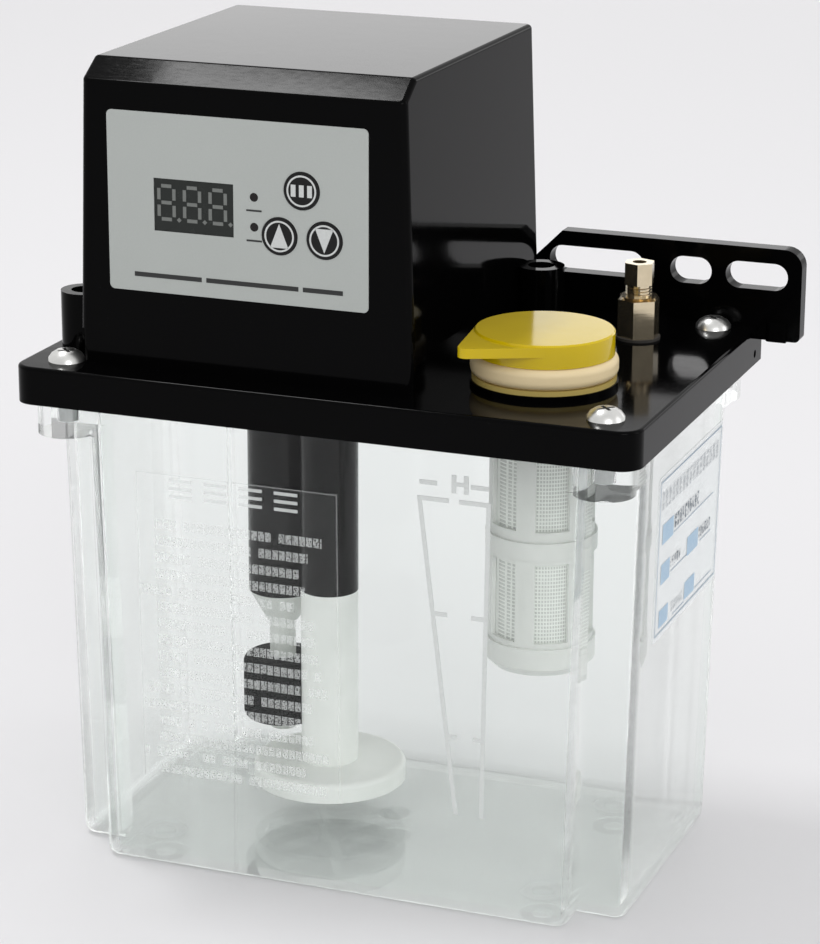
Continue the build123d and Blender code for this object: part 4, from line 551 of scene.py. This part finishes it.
def notice_film(name, ink, low, high, row):
    """Clear film with rows of pale ink: four headline blocks of plain bars over broken bars."""
    f = Finish(name, ior=1.46)
    x, z = f.axes()[::2]
    drop = high[2] - z
    inset = x - low[0]
    wide = high[0] - low[0]
    head_top, head_foot, head_left, head_pitch = 0.0012, 0.0083, 0.0103, 0.01085
    body_top = 0.0126
    body_foot = high[2] - low[2] - 0.0015
    rows = ((drop - body_top) / row).floor()
    in_row = ((drop - body_top) / row) % 1.0
    word = f.chance((inset / 0.0021).floor(), rows, 3.0)
    scribble = f.ramp(f.noise(0.00042, 2, 0.6), 0.40, 0.54)
    line_end = wide * (0.78 + f.chance(rows, 1.0, 7.0) * 0.17)
    indent = 0.0055 + (f.chance(rows, 5.0, 2.0) > 0.72) * -0.0050
    body = (
        f.within(in_row, 0.22, 0.78)
        & (word > 0.10)
        & ((inset / 0.0021) % 1.0 < 0.84)
        & scribble
        & (inset > indent)
        & (inset < line_end)
        & f.within(drop, body_top, body_foot)
    )
    block = (inset - head_left) / head_pitch
    bar = ((drop - head_top) / ((head_foot - head_top) / 3)) % 1.0
    head = (
        f.within(drop, head_top, head_foot)
        & f.within(block, 0.0, 4.0)
        & (block % 1.0 < 0.66)
        & (bar < 0.40)
    )
    border = (inset < 0.0003) | (inset > wide - 0.0003) | (drop < 0.0003)
    cover = f.noise(0.0009, 3)
    f.feed(
        base_color=f.mix(cover, shade(ink, 0.95), shade(ink, 1.15)),
        roughness=0.4 + cover * 0.2,
        alpha=0.01 + body * (0.27 + cover * 0.13) + head * (0.36 + cover * 0.14) + border * 0.14,
    )
    return f.material


def rating_label(name, ground, ink, low, high, boxes, rules, bars):
    """Thin gloss film with a frame, filled boxes, rules and rows of short bars."""
    f = Finish(name, ior=1.46)
    y, z = f.axes()[1:]
    side = (low[1] + high[1]) / 2
    level = (low[2] + high[2]) / 2
    half_wide = (high[1] - low[1]) / 2 - 0.0016
    half_high = (high[2] - low[2]) / 2 - 0.0016
    edge = (abs(y - side) - half_wide) | (abs(z - level) - half_high)
    frame_line = abs(edge) < 0.0002
    solid = f.within(y, *boxes[0][:2]) & f.within(z, *boxes[0][2:])
    for y_low, y_high, z_low, z_high in boxes[1:]:
        solid = solid | (f.within(y, y_low, y_high) & f.within(z, z_low, z_high))
    for y_low, y_high, height in rules:
        frame_line = frame_line | (f.within(y, y_low, y_high) & (abs(z - height) < 0.00013))
    scribble = f.ramp(f.noise(0.0007, 2, 0.6, (1, 1, 0.6)), 0.42, 0.52)
    dark = None
    for y_low, y_high, z_low, z_high, pitch, deep in bars:
        gap = (y / pitch) % 1.0 < 0.62
        row = f.within(y, y_low, y_high) & f.within(z, z_low, z_high) & gap & scribble
        dark = row * deep if dark is None else dark | (row * deep)
    cover = f.noise(0.001, 3)
    base = f.mix(cover, shade(ground, 0.97), shade(ground, 1.03))
    lined = f.mix(frame_line * 0.9, base, shade(ink, 0.5))
    boxed = f.mix(solid * (0.66 + cover * 0.2), lined, ink)
    f.feed(
        base_color=f.mix(dark, boxed, shade(ink, 0.16)),
        roughness=0.28 + cover * 0.15,
        alpha=0.46 + (solid | dark | frame_line) * 0.5,
    )
    return f.material


# ---------------------------------------------------------------- pieces


def dress(material, *names):
    """Give CAD nodes a finish."""
    for name in names:
        piece = NODES[name]
        if not piece.material_slots:
            piece.data.materials.append(material)
        for slot in piece.material_slots:
            slot.material = material


def new_piece(name, build, material, body):
    """Make a mesh piece from a bmesh builder, smooth it by angle and let it ride on a body."""
    work = bmesh.new()
    build(work)
    bmesh.ops.recalc_face_normals(work, faces=work.faces)
    mesh = bpy.data.meshes.new(name)
    work.to_mesh(mesh)
    work.free()
    mesh.polygons.foreach_set("use_smooth", [True] * len(mesh.polygons))
    mesh.set_sharp_from_angle(angle=math.radians(35))
    piece = bpy.data.objects.new(name, mesh)
    bpy.context.scene.collection.objects.link(piece)
    mesh.materials.append(material)
    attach(piece, body)
    return piece


def lifted_print(name, node, material, shift):
    """Stand a copy of a printed film a hair off the wall that it is stuck to."""

    def build(work):
        work.from_mesh(NODES[node].data)
        bmesh.ops.translate(work, verts=work.verts, vec=shift)

    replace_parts(new_piece(name, build, material, "pump_unit"), node)


def lathe(work, section, place, turns=64):
    """Turn a closed section of (radius, height) pairs about a place's Z axis."""
    loops = []
    for step in range(turns):
        spin = Matrix.Rotation(math.tau * step / turns, 4, "Z")
        loops.append([work.verts.new(place @ spin @ Vector((r, 0, h))) for r, h in section])
    count = len(section)
    for step in range(turns):
        here, there = loops[step], loops[(step + 1) % turns]
        for i in range(count):
            j = (i + 1) % count
            work.faces.new((here[i], here[j], there[j], there[i]))


def slab(work, outline, place, thick, soften=0.0):
    """Extrude a flat outline along a place's Z axis and soften its front edge."""
    low = [work.verts.new(place @ Vector((x, y, 0))) for x, y in outline]
    face = work.faces.new(low)
    grown = bmesh.ops.extrude_face_region(work, geom=[face])
    top = [v for v in grown["geom"] if isinstance(v, bmesh.types.BMVert)]
    shift = (place.to_3x3() @ Vector((0, 0, thick)))
    bmesh.ops.translate(work, verts=top, vec=shift)
    if soften:
        ring = [e for e in work.edges if all(v in top for v in e.verts)]
        bmesh.ops.bevel(work, geom=ring, offset=soften, segments=2, profile=0.5, affect="EDGES")


def centre_of(node):
    """Middle of a CAD node's box."""
    low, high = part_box(node)
    return (low + high) / 2


class PumpPiece:
    """Shared registration options and settings of the pump's operators."""

    bl_options = {"REGISTER", "UNDO"}

    def settings(self, context):
        """The scene's sizes and colours."""
        return context.scene.pump_sizes, context.scene.pump_colours


class PUMP_OT_cover(PumpPiece, bpy.types.Operator):
    """Finish the cover plate and the control housing"""

    bl_idname = "pump.cover"
    bl_label = "Cover and Housing"

    def execute(self, context):
        colours = context.scene.pump_colours
        dress(gloss_moulding("black_housing", colours.black, 0.04), "housing")
        dress(gloss_moulding("black_plate", colours.black, 0.05), "cover_plate")
        return {"FINISHED"}


class PUMP_OT_tank(PumpPiece, bpy.types.Operator):
    """Finish the clear tank, its gasket and its inserts"""

    bl_idname = "pump.tank"
    bl_label = "Tank"

    def execute(self, context):
        sizes, colours = self.settings(context)
        side, front, thick = sizes.tank_foot
        dress(clear_moulding("clear_tank", colours.tank, thick, side, sizes.tank_step, front), "tank")
        dress(soft_seal("gasket_rubber", (0.02, 0.02, 0.02)), "tank_gasket")
        dress(plated_metal("insert_plate", (0.50, 0.51, 0.51), 0.25), "screw_inserts")
        return {"FINISHED"}


class PUMP_OT_fasteners(PumpPiece, bpy.types.Operator):
    """Finish the screws"""

    bl_idname = "pump.fasteners"
    bl_label = "Screws"

    def execute(self, context):
        sizes, colours = self.settings(context)
        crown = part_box("cover_screws")[1]
        half_x, half_y = crown.x - sizes.screw_head, crown.y - sizes.screw_head
        centre = crown.z - sizes.screw_sphere
        brow = crown.z - 0.1 * MM
        dress(domed_metal("cover_screw_plate", colours.chrome, half_x, half_y, centre, brow), "cover_screws")
        dress(plated_metal("black_screw_plate", (0.10, 0.10, 0.105), 0.25), "housing_screws")
        small = plated_metal("small_screw_plate", (0.62, 0.62, 0.6), 0.25)
        dress(small, "board_screws", "motor_screws", "pump_screws")
        return {"FINISHED"}


class PUMP_OT_panel(PumpPiece, bpy.types.Operator):
    """Finish the panel, its display and its lamps"""

    bl_idname = "pump.panel"
    bl_label = "Operating Panel"

    def execute(self, context):
        sizes, colours = self.settings(context)
        dress(printed_foil("panel_foil", colours.panel), "panel_label")
        dress(display_window("display_filter", colours.window), "display_module")
        dress(printed_mark("display_segment", colours.digit), "display_segments")
        dress(display_window("lamp_lens", (0.012, 0.010, 0.010)), "status_lamps")
        low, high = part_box("panel_label")
        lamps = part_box("status_lamps")
        wide, tall = high.x - low.x, high.z - low.z
        rows = [
            (low.x + left * wide, low.x + right * wide, low.z + 0.095 * tall, sizes.panel_bar)
            for left, right in ((0.099, 0.362), (0.380, 0.735), (0.752, 0.904))
        ]
        lamp_middle = (lamps[0].x + lamps[1].x) / 2
        for height in (lamps[1].z - 0.0049, lamps[0].z - 0.0027):
            rows.append((lamp_middle - 0.0023, lamp_middle + 0.0023, height, sizes.lamp_bar))

        def build(work):
            for left, right, height, thick in rows:
                place = Matrix.Translation((left, low.y, height)) @ Matrix.Rotation(math.radians(90), 4, "X")
                long = right - left
                outline = [(0, -thick / 2), (long, -thick / 2), (long, thick / 2), (0, thick / 2)]
                slab(work, outline, place, sizes.ink_thick)

        ink = printed_mark("panel_ink", (0.02, 0.021, 0.021))
        new_piece("panel_bars", build, ink, "pump_unit")
        return {"FINISHED"}


class PUMP_OT_keys(PumpPiece, bpy.types.Operator):
    """Finish the keys and lay the ring and arrow on each"""

    bl_idname = "pump.keys"
    bl_label = "Keys"

    def execute(self, context):
        sizes, colours = self.settings(context)
        cap = satin_moulding("key_cap", (0.008, 0.008, 0.008), 0.32, 1.3)
        mark = printed_mark("key_mark", colours.mark)
        half = sizes.key_arrow
        arrow = [(-half, -1.2 * half), (half, -1.2 * half), (0, 1.3 * half)]
        side, top = 0.26 * half, 0.62 * half
        tick = [(-side, -top), (side, -top), (side, top), (-side, top)]
        shapes = {
            "key_up": [arrow],
            "key_down": [[(x, -y) for x, y in reversed(arrow)]],
            "key_set": [[(x + shift * half, y) for x, y in tick] for shift in (-0.9, 0, 0.9)],
        }
        for name, outlines in shapes.items():
            dress(cap, name)
            middle = centre_of(name)
            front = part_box(name)[0].y
            upright = Matrix.Rotation(math.radians(90), 4, "X")
            place = Matrix.Translation((middle.x, front, middle.z)) @ upright
            ring = sizes.key_ring
            line = sizes.key_line
            section = [(ring - line, 0), (ring, 0), (ring, sizes.ink_thick), (ring - line, sizes.ink_thick)]

            def build(work):
                lathe(work, section, place, 72)
                for outline in outlines:
                    slab(work, outline, place, sizes.ink_thick)

            new_piece(name + "_mark", build, mark, name + "_body")
        return {"FINISHED"}


class PUMP_OT_filler(PumpPiece, bpy.types.Operator):
    """Finish the filler basket, its mesh, its lid and its strap"""

    bl_idname = "pump.filler"
    bl_label = "Filler"

    def execute(self, context):
        sizes, colours = self.settings(context)
        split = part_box("cover_plate")[0].z + 0.012
        dress(basket_plastic("basket_moulding", colours.cream, colours.milky, split), "filler_basket")
        dress(satin_moulding("yellow_lid", colours.yellow, 0.10, 1.38, 0.004, 0.15), "filler_lid")
        # The strap's yellow is darkened as painted shade of its ring under the flange.
        dress(satin_moulding("strap_yellow", colours.strap, 0.3, 1.38), "lid_tether")
        dress(wire_weave("basket_weave", colours.milky, sizes.weave, False, 0.0, 0.55, 0.35), "filler_mesh")
        return {"FINISHED"}


class PUMP_OT_outlet(PumpPiece, bpy.types.Operator):
    """Finish the outlet fitting and cut its thread"""

    bl_idname = "pump.outlet"
    bl_label = "Outlet"

    def execute(self, context):
        sizes, colours = self.settings(context)
        plated = plated_metal("outlet_plate", colours.plated, 0.05, 0.0012)
        dress(plated, "outlet_fitting", "outlet_nut")
        dress(soft_seal("outlet_washer_fibre", (0.02, 0.018, 0.016)), "outlet_washer")
        nut_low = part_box("outlet_nut")[0].z
        axis = centre_of("outlet_nut")
        core = 0.0036
        crest = core + sizes.thread_depth
        pitch = sizes.thread_pitch
        foot = nut_low - 0.0033

        def build(work):
            height = foot
            while height + pitch < nut_low:
                place = Matrix.Translation((axis.x, axis.y, height))
                section = [
                    (core - 0.0002, 0.1 * pitch),
                    (crest, 0.42 * pitch),
                    (crest, 0.58 * pitch),
                    (core - 0.0002, 0.9 * pitch),
                ]
                lathe(work, section, place, 48)
                height += pitch

        new_piece("outlet_thread", build, plated, "pump_unit")
        return {"FINISHED"}


class PUMP_OT_immersed(PumpPiece, bpy.types.Operator):
    """Finish the pump column, the suction parts and the level switch"""

    bl_idname = "pump.immersed"
    bl_label = "Immersed Parts"

    def execute(self, context):
        sizes, colours = self.settings(context)
        column = satin_moulding("column_plastic", colours.column, 0.2, 1.28)
        dress(column, "pump_column", "pump_end_plate", "switch_body")
        dress(satin_moulding("switch_nut_plastic", colours.column, 0.4), "switch_nut")
        suction = milky_plastic("suction_plastic", colours.milky)
        dress(suction, "suction_tube", "strainer_cover", "strainer_base")
        dress(milky_plastic("switch_stem_plastic", shade(colours.milky, 0.85), 0.72), "switch_stem")
        dress(milky_plastic("clip_plastic", colours.milky), "float_clip")
        dress(foamed_float("float_foam", colours.grey), "level_float")
        dress(wire_weave("strainer_weave", (0.6, 0.61, 0.6), sizes.weave, True), "strainer_mesh")
        return {"FINISHED"}


class PUMP_OT_prints(PumpPiece, bpy.types.Operator):
    """Print the notice, the rating label and the level scale"""

    bl_idname = "pump.prints"
    bl_label = "Prints on the Tank"

    def execute(self, context):
        sizes, colours = self.settings(context)
        low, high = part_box("notice_film")
        ink = notice_film("notice_ink", shade(colours.ink, 1.2), low, high, sizes.notice_row)
        lifted_print("notice_print", "notice_film", ink, (0, -sizes.film_gap, 0))
        low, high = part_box("rating_label")

        def spot(left, right, top, foot):
            """Limits across and up for a place given in millimetres from the label's upper corner."""
            return low.y + left * MM, low.y + right * MM, high.z - foot * MM, high.z - top * MM

        boxes = [
            spot(4.9, 15.7, 15.0, 20.9),
            spot(31.0, 42.2, 26.6, 32.4),
            spot(5.0, 13.6, 26.9, 32.9),
            spot(30.3, 40.6, 40.2, 45.6),
            spot(5.0, 13.9, 40.7, 45.9),
        ]
        rules = [
            spot(16.4, 56.5, 20.4, 20.4)[:3],
            spot(44.2, 55.8, 31.6, 31.6)[:3],
            spot(14.8, 31.7, 31.7, 31.7)[:3],
            spot(41.5, 58.8, 45.3, 45.3)[:3],
            spot(19.0, 30.5, 46.0, 46.0)[:3],
        ]
        bars = [
            (*spot(3.6, 60.4, 4.9, 10.3), 0.0034, 0.62),
            (*spot(16.2, 42.0, 15.2, 19.4), 0.0025, 1.0),
            (*spot(43.2, 54.6, 27.2, 30.4), 0.0022, 1.0),
            (*spot(14.4, 24.5, 27.4, 30.4), 0.0022, 0.95),
            (*spot(16.6, 28.1, 41.6, 44.8), 0.0024, 0.6),
        ]
        print_ink = rating_label("rating_ink", colours.label, colours.blue, low, high, boxes, rules, bars)
        lifted_print("rating_print", "rating_label", print_ink, (sizes.film_gap, 0, 0))
        ink = printed_mark("scale_ink", colours.ink)
        dress(ink, "level_scale")
        low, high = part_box("level_scale")
        wide, tall, line = sizes.level_mark_width, sizes.level_mark_height, sizes.level_mark_line
        middle = Vector(((low.x + high.x) / 2 + 0.0018, low.y + sizes.film, high.z - 0.0003))
        place = Matrix.Translation(middle) @ Matrix.Rotation(math.radians(90) + sizes.tank_lean, 4, "X")
        post = [
            (-wide / 2, -tall / 2),
            (line - wide / 2, -tall / 2),
            (line - wide / 2, tall / 2),
            (-wide / 2, tall / 2),
        ]
        bar = [
            (line - wide / 2, -0.4 * line),
            (wide / 2 - line, -0.4 * line),
            (wide / 2 - line, 0.4 * line),
            (line - wide / 2, 0.4 * line),
        ]

        def build(work):
            for outline in (post, [(x + wide - line, y) for x, y in post], bar):
                slab(work, outline, place, sizes.film)

        new_piece("level_mark", build, ink, "pump_unit")
        return {"FINISHED"}


class PUMP_OT_drive(PumpPiece, bpy.types.Operator):
    """Finish the motor, the gears and the shafts"""

    bl_idname = "pump.drive"
    bl_label = "Motor and Gears"

    def execute(self, context):
        dress(painted_metal("motor_paint", (0.09, 0.095, 0.10)), "motor_case", "motor_cap")
        stack = laminated_steel("laminations", (0.22, 0.20, 0.19))
        dress(stack, "motor_stator", "motor_rotor", "transformer")
        dress(
            plated_metal("ground_steel", (0.55, 0.55, 0.54), 0.16),
            "motor_shaft",
            "motor_bearings",
            "pump_shaft",
            "gear_pin",
        )
        dress(plated_metal("gear_steel", (0.42, 0.42, 0.42), 0.3), "drive_gear", "driven_gear")
        dress(plated_metal("coupling_brass", (0.62, 0.45, 0.2), 0.24), "shaft_coupling", "pump_bushes")
        dress(soft_seal("shaft_seal_rubber", (0.02, 0.02, 0.02)), "shaft_seal")
        return {"FINISHED"}


class PUMP_OT_control(PumpPiece, bpy.types.Operator):
    """Finish the control board, its switches, its terminals and the cable gland"""

    bl_idname = "pump.control"
    bl_label = "Control Board and Gland"

    def execute(self, context):
        dress(circuit_laminate("board_laminate", (0.012, 0.11, 0.035)), "control_board")
        dress(satin_moulding("switch_plastic", (0.02, 0.02, 0.02), 0.4), "key_switches")
        dress(satin_moulding("terminal_plastic", (0.05, 0.16, 0.10), 0.4), "terminal_block")
        nylon = satin_moulding("gland_nylon", (0.014, 0.014, 0.015), 0.38)
        dress(nylon, "cable_gland", "gland_cap", "gland_locknut")
        return {"FINISHED"}


class PUMP_OT_studio(PumpPiece, bpy.types.Operator):
    """Set up the floor, the soft lights and the camera"""

    bl_idname = "pump.studio"
    bl_label = "Studio"

    def execute(self, context):
        scene = context.scene
        studio = scene.pump_studio
        floor = Finish("studio_floor")
        mottle = floor.noise(0.6, 2)
        floor.feed(
            base_color=floor.mix(mottle, shade(studio.floor, 0.99), shade(studio.floor, 1.01)),
            roughness=0.55 + mottle * 0.05,
        )
        mesh = bpy.data.meshes.new("studio_floor")
        reach = 9.0
        corners = [(-reach, -reach, 0), (reach, -reach, 0), (reach, reach, 0), (-reach, reach, 0)]
        mesh.from_pydata(corners, [], [(0, 1, 2, 3)])
        ground = bpy.data.objects.new("studio_floor", mesh)
        ground.location.z = -0.0002
        mesh.materials.append(floor.material)
        scene.collection.objects.link(ground)

        world = bpy.data.worlds.new("studio_sky")
        scene.world = world
        world.use_nodes = True
        background = world.node_tree.nodes["Background"]
        background.inputs["Color"].default_value = (0.96, 0.955, 0.957, 1)
        sky = NodeWork(world.node_tree, "Generated")
        depth = sky.ramp(sky.axes()[1], -0.5, 0.6)
        rise = studio.sky_behind - studio.sky_before
        sky.plug(background.inputs["Strength"], studio.sky_before + depth * rise)

        aim = Vector((0, 0, 0.12))
        for name, spot, size, power in (
            ("softbox_top", (-0.74, 0.05, 1.9), (0.52, 0.22), 10),
            ("softbox_back", (-0.2, 2.7, 0.66), (3.6, 0.5), 5.5),
            ("softbox_right", (2.2, 0.4, 0.9), (0.8, 1.6), 5),
            ("softbox_fill", (1.2, -1.6, 1.3), (1.0, 1.0), 9),
        ):
            lamp = bpy.data.lights.new(name, "AREA")
            lamp.shape = "RECTANGLE"
            lamp.size, lamp.size_y = size
            lamp.energy = power
            holder = bpy.data.objects.new(name, lamp)
            holder.location = spot
            holder.rotation_euler = (aim - Vector(spot)).to_track_quat("-Z", "Y").to_euler()
            scene.collection.objects.link(holder)

        ahead = Vector(studio.aim).normalized()
        right = ahead.cross(Vector((0, 0, 1))).normalized()
        upward = right.cross(ahead)
        turn = studio.roll
        right, upward = (
            right * math.cos(turn) + upward * math.sin(turn),
            upward * math.cos(turn) - right * math.sin(turn),
        )
        lens = bpy.data.cameras.new("camera")
        lens.lens = studio.lens
        lens.sensor_width = 36
        lens.clip_end = 50
        eye = bpy.data.objects.new("camera", lens)
        basis = Matrix((right, upward, -ahead)).transposed().to_4x4()
        eye.matrix_world = Matrix.Translation(Vector(studio.eye)) @ basis
        scene.collection.objects.link(eye)
        scene.camera = eye
        scene.view_settings.view_transform = "Standard"
        scene.cycles.transparent_max_bounces = studio.clear_layers
        return {"FINISHED"}


PIECES = (
    PUMP_OT_cover,
    PUMP_OT_tank,
    PUMP_OT_fasteners,
    PUMP_OT_panel,
    PUMP_OT_keys,
    PUMP_OT_filler,
    PUMP_OT_outlet,
    PUMP_OT_immersed,
    PUMP_OT_prints,
    PUMP_OT_drive,
    PUMP_OT_control,
    PUMP_OT_studio,
)


class PUMP_PT_sidebar(bpy.types.Panel):
    """The pump's operators and settings in the sidebar"""

    bl_idname = "PUMP_PT_sidebar"
    bl_label = "Lubrication Pump"
    bl_space_type = "VIEW_3D"
    bl_region_type = "UI"
    bl_category = "Pump"

    def draw(self, context):
        for piece in PIECES:
            self.layout.operator(piece.bl_idname)
        for group in (context.scene.pump_sizes, context.scene.pump_colours, context.scene.pump_studio):
            box = self.layout.box()
            for name in group.__annotations__:
                box.prop(group, name)


CLASSES = (PumpColours, PumpSizes, PumpStudio, *PIECES, PUMP_PT_sidebar)


def register():
    """Add the classes and the scene's settings."""
    for item in CLASSES:
        bpy.utils.register_class(item)
    bpy.types.Scene.pump_colours = PointerProperty(type=PumpColours)
    bpy.types.Scene.pump_sizes = PointerProperty(type=PumpSizes)
    bpy.types.Scene.pump_studio = PointerProperty(type=PumpStudio)


def unregister():
    """Take the settings and the classes away again."""
    del bpy.types.Scene.pump_studio
    del bpy.types.Scene.pump_sizes
    del bpy.types.Scene.pump_colours
    for item in reversed(CLASSES):
        bpy.utils.unregister_class(item)


def main():
    """Register the add-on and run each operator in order."""
    register()
    for piece in PIECES:
        group, name = piece.bl_idname.split(".")
        if getattr(getattr(bpy.ops, group), name)() != {"FINISHED"}:
            raise RuntimeError(piece.bl_label + " did not finish")
    bpy.context.view_layer.update()


if __name__ == "__main__":
    main()
